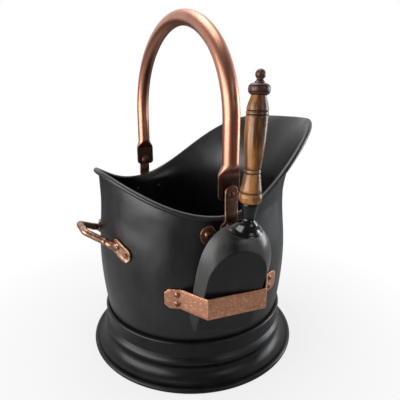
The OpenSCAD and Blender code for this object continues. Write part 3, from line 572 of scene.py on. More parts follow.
body_paint = satin_black("satin_black_sheet", 0.37, 24.0, 0.0014)
foot_paint = satin_black("satin_black_foot", 0.36, 30.0, 0.0004, shine=0.27,
                         dark=(0.003, 0.003, 0.0036, 1), light=(0.007, 0.007, 0.008, 1))
finished(body_sheet(), "bucket", body_paint, "black_steel", "body_shell")


def foot_outline():
    """Outer line of the spun foot from the floor bead to the collar, then back inside."""
    sheet, bead_out, bead_z, bead_r = 1.2, 146.8, 2.9, 3.2
    cove_r, cove_z = bead_out - bead_r * 0.7, bead_z + bead_r * 0.7
    groove_r, groove_z, moulding_low, moulding_out = 128.5, 20.5, 21.3, 5
    moulding_r, moulding_z, neck_r, neck_z = 129, 37, 127.9, 53.4
    collar_z, collar_bead_r = 55, 2.6
    outer = [(r, max(0.0, z)) for r, z in arc(bead_out, bead_z, bead_r, range(-100, 136, 12))]
    for k in range(1, 17):
        t = radians(k * 90 / 16)
        outer.append((mix(cove_r, groove_r, sin(t)),
                      mix(cove_z, groove_z, 1 - cos(t))))
    for k in range(1, 19):
        t = k / 18
        outer.append((mix(groove_r, moulding_r, t) + moulding_out * sin(pi * t),
                      mix(moulding_low, moulding_z, t)))
    for k in range(1, 7):
        outer.append((mix(moulding_r, neck_r, k / 6), mix(moulding_z, neck_z, k / 6)))
    outer += arc(wall_r(collar_z) + SEAT + collar_bead_r, collar_z, collar_bead_r,
                 range(-30, 200, 15))
    inner = [(r - sheet, z) for r, z in reversed(outer) if 6 < z < 53 and r < 145]
    return outer + inner + [(143.2, 3.0), (143.9, 1.0), outer[0]]


finished(turned("foot_spun", foot_outline(), 288), "bucket", foot_paint, "black_steel",
         "foot_ring")


# ---- rivets and pins ----

def head_outline(radius, height, steps=6):
    """A shallow dome from its edge up to a tiny ring, which is filled with the open ends."""
    ball = (radius ** 2 + height ** 2) / (2 * height)
    sweep = asin(min(1, radius / ball))
    line = [(radius, 0.0)]
    for k in range(1, steps + 1):
        t = sweep * (1 - k / steps)
        line.append((max(0.12, ball * sin(t)), ball * cos(t) - ball + height))
    return line


def wall_turn(angle, z):
    """Stands its piece on the body's outside, with Z pointing away from the body."""
    lean = degrees(atan(wall_r(z + 0.5) - wall_r(z - 0.5)))
    return turn(angle, "Z") @ shift(wall_r(z), 0, z) @ turn(lean + 90, "Y")


def rivet_set(name, node, places, thick, head=3.5):
    """Rivets through a plate and the wall, each with a head outside and one inside."""
    rise, shank_r = 1.8, 2.0
    outside, inside = thick + 2 * SEAT, -(SHEET + 3 * SEAT)
    made = []
    for k, (angle, z) in enumerate(places):
        here = wall_turn(angle, z)
        outer = [(shank_r, -thick * 0.5), (shank_r, outside)]
        outer += [(r, outside + h) for r, h in head_outline(head, rise)]
        inner = [(r, inside - h) for r, h in head_outline(head, rise)]
        made.append(turned(f"{name}_{k}", outer, 40, here))
        made.append(turned(f"{name}_in_{k}", inner, 40, here))
    piece = joined(name, made)
    finished(piece, "bucket", rivet_copper, "copper_rivets", node)
    # the heads inside the body carry its paint
    piece.data.materials.append(body_paint)
    for face in piece.data.polygons:
        out = hypot(face.center.x, face.center.y) / MM
        face.material_index = 1 if out < wall_r(face.center.z / MM) - SHEET / 2 else 0


rivet_copper = antique_copper(
    "rivet_copper", 180.0, 0.52, (0.66, 0.34, 0.23, 1), (0.15, 0.065, 0.042, 1), 0.30,
    marks=0.0002, marks_scale=420.0, wear=0.0005)
plate_copper = antique_copper(
    "plate_copper", 80.0, 0.48, (0.92, 0.53, 0.35, 1), (0.15, 0.047, 0.032, 1), 0.28,
    marks=0.00022, marks_scale=210.0, wear=0.0007)
# darker than the other copper: its own patina, and painted shade, as the ears stand in shade
ear_copper_patina_and_shade = antique_copper(
    "ear_copper_patina_and_shade", 45.0, 0.36, (0.56, 0.295, 0.200, 1), (0.25, 0.120, 0.082, 1), 0.32,
    marks=0.00005, marks_scale=220.0, wear=0.0009)
pin_copper = antique_copper(
    "pin_copper", 150.0, 0.62, (0.40, 0.20, 0.145, 1), (0.11, 0.058, 0.046, 1), 0.42,
    marks=0.00006, marks_scale=300.0, wear=0.0005)

PIVOT_X, PIVOT_Z, EAR_T, EAR_W, EAR_STEP, EAR_GAP = -22.0, 246.0, 3.0, 16.0, 1.2, 2.0
EAR_A = 90 + degrees(asin(-PIVOT_X / (NECK_R + EAR_T)))
EAR_FRONT = 90 + degrees(asin((-PIVOT_X - EAR_W / 2) / rim_r(EAR_A)))
EAR_OVER = rim_r(EAR_FRONT) * sin(radians(EAR_FRONT)) + BEAD_R + SEAT
EAR_Y = EAR_OVER - EAR_STEP
EAR_PLATE_L, EAR_PLATE_Z, EAR_RIVET_GAP, EAR_RIVET_Z = 60.0, 197.0, 42, 198.5
EAR_RIVET_A = degrees(EAR_RIVET_GAP / 2 / (NECK_R + EAR_T))
TAB_T = 3.5
TAB_Y = EAR_Y - EAR_GAP - TAB_T / 2

for side, word in SIDES:
    rivet_set(f"ear_rivet_heads_{word}", f"ear_rivets_{word}",
              [(side * (EAR_A + s * EAR_RIVET_A), EAR_RIVET_Z) for s in (-1, 1)], EAR_T)

HOLDER_A, HOLDER_Z, HOLDER_H, HOLDER_T = -97.0, 107.0, 25.5, 2.0
HOLDER_R, HOLDER_FRONT_L, HOLDER_BEND_A, HOLDER_FOOT_L = 155.0, 73.0, 25, 25
HOLDER_MID, HOLDER_RIVET_GAP = HOLDER_Z + HOLDER_H / 2, 12
HOLDER_RIVET_A = HOLDER_BEND_A + degrees(HOLDER_FOOT_L * 0.2 / BELLY_R)
rivet_set("holder_rivet_heads", "holder_rivets",
          [(HOLDER_A + s * HOLDER_RIVET_A, HOLDER_MID + t * HOLDER_RIVET_GAP / 2)
           for s in (-1, 1) for t in (-1, 1)], HOLDER_T)

LUG_Z, LUG_SLOPE, LUG_T, LUG_L, LUG_H = 168.0, 24.0, 3.0, 36.0, 18.0
LUG_OUT, LUG_RIVET_LOW, LUG_RIVET_GAP, ARM_Y = 15.2, 2.2, 15.0, 35.5
LUG_A = degrees(asin((ARM_Y + LUG_OUT) / wall_r(LUG_Z)))
LUG_RIVETS = [LUG_RIVET_LOW + s * LUG_RIVET_GAP / 2 for s in (-1, 1)]
rivet_set("back_handle_rivet_heads", "rear_handle_rivets",
          [(180 + side * (LUG_A + degrees(y / BELLY_R)),
            LUG_Z - tan(radians(LUG_SLOPE)) * y)
           for side in (NEAR, FAR) for y in LUG_RIVETS], LUG_T, head=3.0)


def pivot_pin(side, word):
    """Three turned lengths on one axis: the big inner head, the shank and the outer head."""
    side_gap = 0.25
    inner_y = TAB_Y - TAB_T / 2 - side_gap
    outer_y = EAR_Y + EAR_T + SEAT
    here = shift(PIVOT_X, 0, PIVOT_Z) @ turn(-90 * side, "X")
    big = [(r, inner_y - h) for r, h in head_outline(6.5, 3.0, 8)]
    shank = [(2.5, inner_y - 0.5), (2.5, outer_y + 0.3)]
    small = [(r, outer_y + h) for r, h in head_outline(3.5, 1.6)]
    made = [turned(f"pin_{word}_{k}", line, 48, here)
            for k, line in enumerate((big, shank, small))]
    finished(joined(f"pin_heads_{word}", made), "bucket", pin_copper, "copper_rivets",
             f"pivot_pin_{word}")


for side, word in SIDES:
    pivot_pin(side, word)


# ---- ears ----

def wall_plate(name, angle, z, half_of, length, thick, slope=0.0, side=1, bevel=0.7, dish=0.0):
    """A plate that follows the body: half_of gives its half height at a place along it."""
    steps = 44
    rows = []
    lean = radians(slope)
    for k in range(steps + 1):
        u = -cos(pi * k / steps) * length / 2
        row = []
        for v, w in plate_edge(half_of(u), thick, bevel, dish):
            along = u * cos(lean) + v * sin(lean)
            up = z - u * sin(lean) + v * cos(lean)
            row.append(round_place((wall_r(up) + SEAT + w, up),
                                   angle + side * degrees(along / BELLY_R)))
        rows.append(row)
    return wrapped(name, rows)


def ear_lobes(u):
    """Half height of an ear's plate: a round lobe at each end and a waist between them."""
    lobe, waist, blend_l = 12.5, 5.0, 6
    inside = abs(u) - (EAR_PLATE_L / 2 - lobe)
    if inside <= 0:
        return mix(waist, lobe, ease(1 + inside / blend_l))
    return sqrt(max(0.0, lobe ** 2 - inside ** 2))


def ear_strap(side):
    """The strap steps out over the bead and ends in a round top."""
    low = wall_r(EAR_PLATE_Z) + SEAT
    top_z, bead_z = PIVOT_Z + 10.5, rim_z(EAR_FRONT)
    # its inner face from the plate up: (out, height)
    path = [(low, EAR_PLATE_Z - 4), (low, bead_z - 12.2), (low + 1.2, bead_z - 9.9),
            (EAR_OVER, bead_z - 2.7), (EAR_OVER, bead_z + 2.4), (EAR_Y, bead_z + 9.2),
            (EAR_Y, top_z)]
    fine = []
    for (y0, z0), (y1, z1) in zip(path, path[1:]):
        steps = max(2, int(hypot(y1 - y0, z1 - z0) / 1.5))
        fine += [(mix(y0, y1, k / steps), mix(z0, z1, k / steps)) for k in range(steps)]
    fine.append(path[-1])
    for _ in range(3):
        fine = [fine[0]] + [((a[0] + 2 * b[0] + c[0]) / 4, (a[1] + 2 * b[1] + c[1]) / 4)
                            for a, b, c in zip(fine, fine[1:], fine[2:])] + [fine[-1]]
    rows = []
    for k, (y, z) in enumerate(fine):
        way_y, way_z = way_at(fine, k)
        top = EAR_W / 2 - (top_z - z)
        half = EAR_W / 2 if top <= 0 else sqrt(max(0.0, (EAR_W / 2) ** 2 - top ** 2))
        rows.append([(PIVOT_X - side * v, side * (y + way_z * w), z - way_y * w)
                     for v, w in plate_edge(half, EAR_T, 0.7)])
    return wrapped(f"strap_{side}", rows)


for side, word in SIDES:
    plate = wall_plate(f"ear_plate_{word}", side * EAR_A, EAR_PLATE_Z, ear_lobes, EAR_PLATE_L,
                       EAR_T)
    finished(joined(f"ear_{word}_copper", [plate, ear_strap(side)]), "bucket", ear_copper_patina_and_shade,
             "copper", f"ear_{word}")


# ---- bail ----

TUBE_D, LEG_Y, LEG_TOP, SHOULDER_R, CROWN_R = 18.6, 136.0, 75.0, 113.0, 150.0
TAB_W, TAB_LOW, TAB_HIGH, TAB_BLEND, TAB_ROUND = 27.5, 7.0, 20.0, 13.0, 5


def bail_section(flat, width):
    """Section of the bail between flat bar and round tube: (along X, out)."""
    count = 64
    ring = []
    for j in range(count):
        t = 2 * pi * j / count
        w, d = mix(TUBE_D, width, flat), mix(TUBE_D, TAB_T, flat)
        power = mix(1.0, 0.32, flat)
        c, s = cos(t), sin(t)
        ring.append((copysign(abs(c) ** power, c) * w / 2,
                     copysign(abs(s) ** mix(1.0, 0.5, flat), s) * d / 2))
    return ring


def bail_line():
    """Stations of half the bail, from its end up to the crown: (y, z, lean, flat, width)."""
    line = []
    for t in range(0, 105, 15):
        drop = TAB_ROUND * (1 - sin(radians(t)))
        z = -TAB_LOW + TAB_ROUND - TAB_ROUND * cos(radians(t))
        line.append((TAB_Y, z, 0.0, 1.0, TAB_W - 2 * drop))
    for k in range(1, 9):
        line.append((TAB_Y, mix(TAB_ROUND - TAB_LOW, TAB_HIGH, k / 8), 0.0, 1.0, TAB_W))
    for k in range(1, 15):
        t = k / 14
        line.append((mix(TAB_Y, LEG_Y, ease(t)), TAB_HIGH + TAB_BLEND * t, 0.0,
                     1 - ease(t) ** 0.8, TAB_W))
    for k in range(1, 9):
        line.append((LEG_Y, mix(TAB_HIGH + TAB_BLEND, LEG_TOP, k / 8), 0.0, 0.0, TAB_W))
    shoulder_y = LEG_Y - SHOULDER_R
    drop = sqrt((CROWN_R - SHOULDER_R) ** 2 - shoulder_y ** 2)
    meet = atan2(drop, shoulder_y)
    for k in range(1, 21):
        t = meet * k / 20
        line.append((shoulder_y + SHOULDER_R * cos(t), LEG_TOP + SHOULDER_R * sin(t),
                     t, 0.0, TAB_W))
    for k in range(1, 25):
        t = mix(meet, pi / 2, k / 24)
        line.append((CROWN_R * cos(t), LEG_TOP - drop + CROWN_R * sin(t), t, 0.0, TAB_W))
    return line


def bail_tube():
    rows = []
    for y, z, lean, flat, width in bail_line():
        rows.append([(PIVOT_X + x, y + out * cos(lean), PIVOT_Z + z + out * sin(lean))
                     for x, out in bail_section(flat, width)])
    other = [[(x, -y, z) for x, y, z in row] for row in reversed(rows[:-1])]
    return wrapped("bail_tube", rows + other, angle=50)


finished(bail_tube(), "bail", bail_copper(), "bail_copper", "bail")


# ---- back handle ----

def lug_half(u):
    """Half height of a tongue with two round ends."""
    past = abs(u) - (LUG_L - LUG_H) / 2
    return LUG_H / 2 if past <= 0 else sqrt(max(0.0, (LUG_H / 2) ** 2 - past ** 2))


def handle_bar():
    """The bar, its corners and arms; each arm bends and flattens into its plate."""
    arm_z, bar_r, corner_r, bar_half = LUG_Z + 4.4, 4.4, 8.0, 13.0
    rise, reach_out, root_gap = 14.5, 25.5, 0.45
    start_x = -sqrt((wall_r(arm_z) + bar_r + root_gap) ** 2 - ARM_Y ** 2)
    bar_x = -wall_r(LUG_Z) - reach_out
    slope = atan2(rise, start_x - bar_x)
    reach = hypot(start_x - bar_x, rise)
    cx, cy = reach - corner_r, bar_half
    to_c = hypot(cx, cy - ARM_Y)
    heading = atan2(cy - ARM_Y, cx) + asin(corner_r / to_c)
    arm = sqrt(to_c ** 2 - corner_r ** 2)
    half = []
    # the root: (distance from the wall, way along the plate, drop, thickness, height)
    for out, along, drop, thin, tall in ((1.3, 12.0, 5.2, 0.9, 6.6), (1.7, 9.6, 4.1, 1.4, 6.4),
                                         (2.3, 7.2, 3.0, 2.0, 6.0), (3.2, 4.9, 2.0, 2.8, 5.5),
                                         (4.4, 2.9, 1.1, 3.7, 5.0), (6.0, 1.3, 0.4, 4.3, 4.7)):
        a = asin(ARM_Y / wall_r(arm_z)) + along / wall_r(arm_z)
        r = wall_r(arm_z - drop) + out
        half.append((-r * cos(a), r * sin(a), arm_z - drop, thin, tall))
    flat = [(s * cos(heading), ARM_Y + s * sin(heading))
            for s in (mix(3.4, arm, k / 16) for k in range(17))]
    for k in range(1, 13):
        t = mix(heading + pi / 2, 0.0, k / 12)
        flat.append((cx + corner_r * cos(t), cy + corner_r * sin(t)))
    flat += [(reach, mix(cy, 0, k / 5)) for k in range(1, 6)]
    for k, (x, y) in enumerate(flat):
        # the arm is a little fuller where it leaves the root
        r = bar_r + 0.75 * exp(-((k - 2.5) / 0.9) ** 2)
        half.append((start_x - x * cos(slope), y, arm_z + x * sin(slope), r, r))
    path = half + [(x, -y, z, thin, tall) for x, y, z, thin, tall in reversed(half[:-1])]
    rows = []
    for k, (x, y, z, thin, tall) in enumerate(path):
        before, after = path[max(0, k - 1)], path[min(len(path) - 1, k + 1)]
        ahead = (Vector(after[:3]) - Vector(before[:3])).normalized()
        across = ahead.cross(Vector((0, 0, 1))).normalized()
        up = across.cross(ahead)
        rows.append(hoop(Vector((x, y, z)), across * thin, up * tall, 28))
    return wrapped("handle_bar", rows, angle=50)


lugs = [wall_plate(f"lug_{k}", 180 + side * LUG_A, LUG_Z, lug_half, LUG_L, LUG_T,
                   slope=LUG_SLOPE, side=side, bevel=0.9, dish=0.7)
        for k, side in enumerate((NEAR, FAR))]
finished(joined("back_handle_copper", [handle_bar()] + lugs), "bucket", plate_copper, "copper",
         "rear_handle")


# ---- shovel holder ----

def holder_strap():
    """A flat strap: two feet on the body, two slanting sides and a straight front."""
    foot_angles = [33.8, 33.2, 32.2, 31.0, 29.8, 28.4, 27.2, 26.2, 25.4]
    open_a, corner, foot_r = 2.2, 5, BELLY_R + SEAT
    root_x, root_y = arc(0, 0, foot_r + 1, [HOLDER_BEND_A])[0]
    front_x, front_y = HOLDER_R - HOLDER_T, HOLDER_FRONT_L / 2
    # the line from an end to the middle: (x, y, on the body, share of the full height)
    half = [(x, y, True, min(1.0, (foot_angles[0] - a) / open_a))
            for a, (x, y) in zip(foot_angles, arc(0, 0, foot_r, foot_angles))]
    half += [(mix(root_x, front_x, k / 13), mix(root_y, front_y, k / 13), False, 1.0)
             for k in range(1, 13)]
    middle = [(front_x, mix(front_y, -front_y, k / 16), False, 1.0) for k in range(17)]
    path = half + middle + [(x, -y, foot, share) for x, y, foot, share in reversed(half)]
    rows = []
    for k, (x, y, foot, share) in enumerate(path):
        way_x, way_y = way_at(path, k)
        row = []
        for v, w in plate_edge(HOLDER_H / 2 - corner * (1 - share), HOLDER_T, 0.45):
            z = HOLDER_MID + v
            off = w + (wall_r(z) - BELLY_R if foot else -HOLDER_T / 2)
            row.append((x - way_y * off, y + way_x * off, z))
        rows.append(row)
    piece = wrapped("holder_strap", rows)
    piece.data.transform(turn(HOLDER_A, "Z"))
    return piece


strap_copper = antique_copper(
    "hammered_strap_copper", 150.0, 0.34, (0.96, 0.475, 0.295, 1), (0.58, 0.21, 0.115, 1), 0.40,
    marks=0.0002, marks_scale=330.0, grain=0.35, wear=0.0005)
finished(holder_strap(), "bucket", strap_copper, "hammered_copper", "shovel_holder")


# ---- shovel ----

PAN_W, PAN_L, PAN_ARCH, PAN_T, PAN_GAP, PAN_SIDE = 70.0, 116.0, 38.0, 1.2, 3.2, 3
TIP_Z, TIP_L, PAN_LEAN, PAN_TILT, PAN_TURN = 77.0, 24, 15.0, 6.4, -4
PAN_FLARE, PAN_GROW, PAN_DEPTH, HOOD_L, HOOD_DEPTH = 6.5, 3.5, 13, 24.2, 22.5
ARCH_Z = PAN_L - PAN_ARCH
HOLDER_TOP = HOLDER_Z + HOLDER_H
TIP_R = (HOLDER_R - HOLDER_T - PAN_GAP
         - (HOLDER_TOP - TIP_Z) * tan(radians(PAN_LEAN)))
TIP_SIDE = -PAN_SIDE - (HOLDER_TOP - TIP_Z) * tan(radians(PAN_TILT))
SHOVEL = (turn(HOLDER_A + 90, "Z") @ shift(TIP_SIDE, -TIP_R, TIP_Z) @ turn(PAN_TURN, "Z")
          @ turn(PAN_LEAN, "X") @ turn(PAN_TILT, "Y"))
HANDLE_TILT, HANDLE_RISE, BORE_R = -3.5, 55, 2.7
HANDLE = (SHOVEL @ shift(0, 0, PAN_L) @ turn(HANDLE_TILT, "Y") @ turn(-PAN_LEAN, "X")
          @ shift(0, 0, HANDLE_RISE))


def pan_places():
    """Places round the flat: (x, z, out x, out z, hood share, fullness)."""
    side_steps, arch_steps = 26, 56

    def flank(i, s):
        z = ARCH_Z * (i / side_steps) ** 1.5
        t = min(1, z / TIP_L)
        return (s * PAN_W / 2, z, s, 0.0, 0.0, max(0.06, sqrt(1 - (1 - t) ** 2)))

    places = [flank(i, -1) for i in range(side_steps)]
    for i in range(arch_steps + 1):
        a = pi * (1 - i / arch_steps)
        n = Vector((cos(a) / (PAN_W / 2), sin(a) / PAN_ARCH)).normalized()
        places.append((cos(a) * PAN_W / 2, ARCH_Z + sin(a) * PAN_ARCH, n.x, n.y,
                       sin(a) ** 2, 1.0))
    return places + [flank(i, 1) for i in range(side_steps - 1, -1, -1)]


def pan_wall(p, k, t):
    """A place in the wall at p: k of the way out along it, t through the sheet."""
    x, z, out_x, out_z, hood, full = p
    flare = PAN_FLARE + PAN_GROW * min(1, z / ARCH_Z)
    out, deep = mix(flare, HOOD_L, hood) * full, mix(PAN_DEPTH, HOOD_DEPTH, hood) * full
    bow, quarter = 0.55 * hood, pi / 2
    go = mix(k, sin(quarter * k), bow) * out
    down = mix(k, 1 - cos(quarter * k), bow) * deep
    dgo = mix(1, cos(quarter * k) * quarter, bow) * out
    ddown = mix(1, sin(quarter * k) * quarter, bow) * deep
    size = hypot(dgo, ddown)
    fold = t * (size - dgo) / ddown if k == 0 else t * ddown / size
    lift = t if k == 0 else t * dgo / size
    return (x + out_x * (go - fold), down + lift, z + out_z * (go - fold))


def crisp_floor(piece, level):
    """Makes one flat face of the pan's floor at a level, with a crisp fold round it."""
    only(piece)
    bpy.ops.object.mode_set(mode="EDIT")
    bpy.ops.mesh.select_all(action="DESELECT")
    bpy.ops.mesh.select_mode(type="FACE")
    bpy.ops.object.mode_set(mode="OBJECT")
    for face in piece.data.polygons:
        face.select = all(abs(piece.data.vertices[v].co.y - level) < 1e-5 for v in face.vertices)
    bpy.ops.object.mode_set(mode="EDIT")
    bpy.ops.mesh.dissolve_faces()
    bpy.ops.mesh.region_to_loop()
    bpy.ops.mesh.mark_sharp()
    bpy.ops.mesh.select_mode(type="VERT")
    bpy.ops.object.mode_set(mode="OBJECT")


def spot(x, z, at_x, at_z, wide, high):
    """How much a soft round spot covers a place, from 0 to 1."""
    return exp(-((x - at_x) / wide) ** 2 - ((z - at_z) / high) ** 2)


def shovel_pan():
    """A sheet with two skins, and an attribute of how much paler its paint is made: a painted
    sheen on the walls and hood, with a painted highlight spot and a painted shade spot.
    """
    walls, floor_steps = 18, 3
    rows = []
    for p in pan_places():
        spine = (0.0, min(p[1], ARCH_Z))
        row = []
        for t, order in ((0.0, 1), (PAN_T, -1)):
            fold = pan_wall(p, 0, t)
            flat = [(mix(spine[0], fold[0], j / floor_steps), fold[1],
                     mix(spine[1], fold[2], j / floor_steps)) for j in range(floor_steps)]
            line = flat + [pan_wall(p, j / walls, t) for j in range(walls + 1)]
            row += line[::order]
        rows.append(row)
    piece = wrapped("shovel_pan_sheet", rows, angle=24)
    for level in (0.0, PAN_T):
        crisp_floor(piece, level * MM)
    # painted sheen and shade: this attribute makes the walls and hood paler than the floor, more
    # so towards the hood, with a painted highlight spot and a painted shade spot
    marks = piece.data.attributes.new("wear_and_sheen", "FLOAT", "POINT")
    for k, v in enumerate(piece.data.vertices):
        x, y, z = v.co / MM
        rise = min(1.0, max(0.0, y) / 0.5) * mix(0.12, 0.78, min(1, z / ARCH_Z))
        painted_highlight_spot, shade = spot(x, z, 5, 126, 7, 9), spot(x, z, -13, 120, 7, 9)
        marks.data[k].value = rise * (1 + 0.7 * painted_highlight_spot - 0.8 * shade)
    piece.data.transform(SHOVEL)
    return piece


# the pale colour given here is the painted sheen on the pan's walls and hood
pan_paint = satin_black("satin_black_pan", 0.34, 38.0, 0.0005, shine=0.36,
                        dark=(0.002, 0.002, 0.0022, 1), light=(0.006, 0.006, 0.006, 1),
                        wear_and_sheen=(0.088, 0.089, 0.084, 1))
finished(shovel_pan(), "shovel", pan_paint, "black_steel", "shovel_pan")

GRIP_L, GRIP_R, BULGE_R, WAIST_R, GROOVE = 105.5, 12.0, 11.2, 8.4, 0.6
GROOVES = (0.10, 0.288, 0.326, 0.828, 0.864)   # shares of the grip's length


def grip_outline():
    """The grip from the socket up: (share of its length, radius)."""
    foot = GRIP_R * 0.92
    return [
        (0, GRIP_R * 0.84), (0.02, GRIP_R * 0.97), (0.05, GRIP_R * 1.02), (0.085, GRIP_R * 0.98),
        (0.095, foot), (0.10, foot - GROOVE), (0.11, foot), (0.15, GRIP_R * 0.87),
        (0.22, mix(WAIST_R, GRIP_R, 0.28)), (0.28, WAIST_R + 0.1), (0.288, WAIST_R + 0.1 - GROOVE),
        (0.296, WAIST_R + 0.1), (0.318, WAIST_R), (0.326, WAIST_R - GROOVE), (0.334, WAIST_R),
        (0.40, mix(WAIST_R, BULGE_R, 0.15)), (0.50, mix(WAIST_R, BULGE_R, 0.55)),
        (0.60, mix(WAIST_R, BULGE_R, 0.85)), (0.70, mix(WAIST_R, BULGE_R, 0.97)),
        (0.78, BULGE_R), (0.82, BULGE_R), (0.828, BULGE_R - GROOVE), (0.836, BULGE_R),
        (0.856, BULGE_R * 0.985), (0.864, BULGE_R * 0.98 - GROOVE), (0.872, BULGE_R * 0.97),
        (0.93, BULGE_R * 0.87), (0.975, BULGE_R * 0.73), (1, BULGE_R * 0.68)]


def eased_line(points, longest=2.0):
    """The same line with more points where it is long, rounded by a cubic through them."""
    fine = []
    for k in range(len(points) - 1):
        p0, p1 = points[max(0, k - 1)], points[k]
        p2, p3 = points[k + 1], points[min(len(points) - 1, k + 2)]
        gap = hypot(p2[0] - p1[0], p2[1] - p1[1])
        steps = max(1, int(gap / longest))
        for j in range(steps):
            t = j / steps
            if steps == 1:
                fine.append(p1)
                continue
            r = 0.5 * (2 * p1[0] + (p2[0] - p0[0]) * t
                       + (2 * p0[0] - 5 * p1[0] + 4 * p2[0] - p3[0]) * t ** 2
                       + (3 * p1[0] - p0[0] - 3 * p2[0] + p3[0]) * t ** 3)
            fine.append((r, mix(p1[1], p2[1], t)))
    fine.append(points[-1])
    return fine


def turned_wood(name, outline, sides, grooves, width, wood, slot_name, node):
    """A turned piece of the handle, with the stain in its grooves as an attribute."""
    piece = turned(name, outline, sides, HANDLE)
    back = HANDLE.inverted()
    marks = piece.data.attributes.new("stain", "FLOAT", "POINT")
    for k, v in enumerate(piece.data.vertices):
        height = (back @ v.co).z / MM
        near = min(abs(height - groove) for groove in grooves)
        marks.data[k].value = max(0.0, 1 - near / width) ** 0.5
    finished(piece, "shovel", wood, slot_name, node)


# the turn that lays the handle's axis along Z for the grain
grain_turn = tuple(HANDLE.inverted().to_euler("XYZ"))
grip_wood = stained_wood("stained_grip_wood", grain_turn, (0.37, 0.158, 0.048, 1),
                         (0.062, 0.019, 0.006, 1), 0.28)
dark_wood = stained_wood("dark_turned_wood", grain_turn, (0.105, 0.034, 0.020, 1),
                         (0.050, 0.015, 0.010, 1), 0.30)

grip_line = eased_line([(r, SEAT + z * GRIP_L) for z, r in grip_outline()])
turned_wood("turned_grip", [(BORE_R, SEAT)] + grip_line + [(BORE_R, SEAT + GRIP_L)], 96,
            [g * GRIP_L + SEAT for g in GROOVES], 0.9, grip_wood, "turned_wood", "shovel_grip")

CAP_R, CAP_H, BALL_R = 10.8, 11.0, 5.1
cap_z = GRIP_L + 2 * SEAT
cap_line = eased_line([(CAP_R - 3.5, 0), (CAP_R - 1.5, 1.2), (CAP_R - 0.3, 3.0),
                       (CAP_R, CAP_H * 0.5), (CAP_R - 0.3, CAP_H - 3), (CAP_R - 1.5, CAP_H - 1.2),
                       (CAP_R - 3.5, CAP_H)], 0.8)
cap_line = [(r, cap_z + z) for r, z in [(BORE_R, 0)] + cap_line + [(BORE_R, CAP_H)]]
turned_wood("turned_collar", cap_line, 80, [cap_z + 3.0, cap_z + 8.0], 0.5, dark_wood,
            "dark_wood", "shovel_collar")

top_z = GRIP_L + CAP_H + 3 * SEAT
finial_foot_h, finial_neck_h, finial_neck_r = 2.2, 1.6, BALL_R * 0.75
ball_z = finial_foot_h + finial_neck_h + BALL_R - 1
ball = arc(0, ball_z, BALL_R, range(-48, 89, 8)) + [(0.1, ball_z + BALL_R)]
finial_line = [(BORE_R, 0), (BALL_R, 0), (BALL_R, 1.3), (finial_neck_r, finial_foot_h),
               (finial_neck_r - 0.4, 3.0)] + ball
turned_wood("turned_finial", [(r, top_z + z) for r, z in finial_line], 64, [top_z + 2.6], 0.6,
            dark_wood, "dark_wood", "shovel_finial")


def socket():
    """The cup under the grip, drawn in to a neck and spread to a bell that leans on the hood."""
    to_pan = SHOVEL.inverted() @ HANDLE
    neck_h, base = -18.0, Vector((-2.2, 12.6, 137.9))
    lean = Vector((-0.10, 0.0, 0.995))
    neck = (to_pan @ Vector((0, 0, neck_h * MM))) / MM
    axis = (to_pan.to_3x3() @ Vector((0, 0, 1))).normalized()
    cup = eased_line([(8.2, 0.0), (9.0, -0.8), (9.0, -3.5), (8.4, -6.5), (7.6, -10), (6.9, -14),
                      (6.6, -16.5), (6.6, neck_h)], 1.2)
    bell = eased_line([(6.6, 0.0), (7.6, 0.08), (9.8, 0.20), (11.8, 0.34), (13.0, 0.50),
                       (14.4, 0.66), (16.4, 0.80), (18.6, 0.91), (19.5, 0.97), (19.5, 1.02),
                       (18.7, 1.05)], 0.4)
    rings = [(neck + axis * (h - neck_h), axis, r) for r, h in [(BORE_R, 0.0)] + cup]
    for r, t in bell[1:]:
        centre = neck.lerp(base, t) - axis * 3.0 * t * (1 - t)
        rings.append((centre, axis.lerp(lean, ease(t)).normalized(), r))
    rings.append((base - lean, lean, 3.0))
    rows = []
    for centre, facing, r in rings:
        across = Vector((0, 1, 0)).cross(facing).normalized()
        ahead = facing.cross(across)
        rows.append(hoop(centre, across * r, ahead * r, 72))
    piece = wrapped("shovel_socket_cup", rows, angle=40)
    piece.data.transform(SHOVEL)
    return piece


finished(socket(), "shovel", gloss_black(), "gloss_black", "shovel_socket")


# ---- solids that keep their own shape ----

wire = bare_wire()
for node, material in (("base_pan", body_paint), ("rim_wire", wire), ("foot_wire", wire),
                       ("shovel_tang", wire)):
    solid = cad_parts[node]
    solid.data.materials.clear()
    solid.data.materials.append(material)


# ---- stage ----

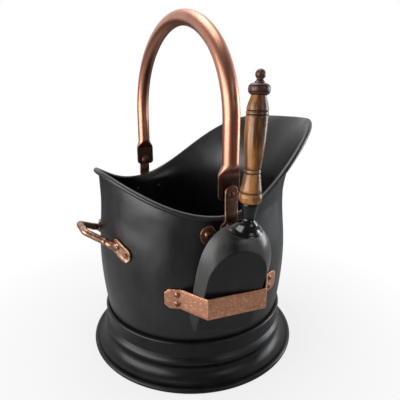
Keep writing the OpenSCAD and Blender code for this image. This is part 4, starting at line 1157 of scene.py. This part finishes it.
def set_floor():
    """White to the camera, with the object's shadow kept round its foot."""
    clear_choice()
    bpy.ops.mesh.primitive_plane_add(size=30, location=(0, 0, 0))
    floor = fresh("floor")
    material, tree, shader = new_material(
        "white_paper", {"Roughness": 0.9, "Specular IOR Level": 0.1})
    # painted falloff of light: the paper's colour fades from pale round the object to dark, into
    # the dark studio beyond the white the camera sees
    far = add(tree, "ShaderNodeVectorMath", {0: place_of(tree)}, operation="LENGTH")
    painted_falloff = span(tree, far.outputs["Value"], 0.2, 0.9, 0.50, 0.12)
    tree.links.new(blend_colour(tree, painted_falloff, (0, 0, 0, 1), (1, 1, 1, 1)),
                   shader.inputs["Base Color"])
    white = add(tree, "ShaderNodeEmission", {"Color": (1, 1, 1, 1), "Strength": 1.0})
    rays = add(tree, "ShaderNodeLightPath")
    share = maths(tree, "MULTIPLY", rays.outputs["Is Camera Ray"],
                  span(tree, far.outputs["Value"], 0.16, 0.42, 0.80, 1.0))
    both = add(tree, "ShaderNodeMixShader",
               {0: share, 1: shader.outputs[0], 2: white.outputs[0]})
    tree.links.new(both.outputs[0], tree.nodes["Material Output"].inputs["Surface"])
    floor.data.materials.append(material)


def set_world():
    """White to the camera, a soft even light, and a dimmer studio in what shines."""
    world = bpy.data.worlds.new("studio")
    bpy.context.scene.world = world
    world.use_nodes = True
    tree = world.node_tree
    back = tree.nodes["Background"]
    rays = add(tree, "ShaderNodeLightPath")
    seen = maths(tree, "MAXIMUM", rays.outputs["Is Camera Ray"],
                 rays.outputs["Is Transmission Ray"])
    # the white background lies behind the object; the studio in front of it is dimmer
    ways = add(tree, "ShaderNodeSeparateXYZ",
               {0: add(tree, "ShaderNodeTexCoord").outputs["Generated"]})
    behind = weighted(tree, ways.outputs["X"], 0.466, ways.outputs["Y"], 0.885)
    mirrored = maths(tree, "MULTIPLY", rays.outputs["Is Glossy Ray"],
                     span(tree, behind, -0.2, 0.65, 0.10, 1.0))
    ambient = maths(tree, "MULTIPLY", rays.outputs["Is Diffuse Ray"], 0.24)
    level = maths(tree, "MAXIMUM", seen, maths(tree, "MAXIMUM", mirrored, ambient))
    back.inputs["Color"].default_value = (1, 1, 1, 1)
    tree.links.new(level, back.inputs["Strength"])


set_camera()
set_world()
set_floor()
set_softbox("left_window", (-1.35, -0.10, 0.40), 1.5, 1.0, 27, (1, 1, 1))
set_softbox("right_window", (1.35, -0.35, 0.40), 0.5, 0.8, 12, (0.92, 0.96, 1))
set_softbox("front_window", (0.35, -1.35, 0.75), 0.6, 0.7, 3, (1, 1, 1))
set_softbox("top_panel", (0.0, 0.3, 1.5), 0.9, 0.9, 11, (0.98, 0.99, 1))

clear_choice()
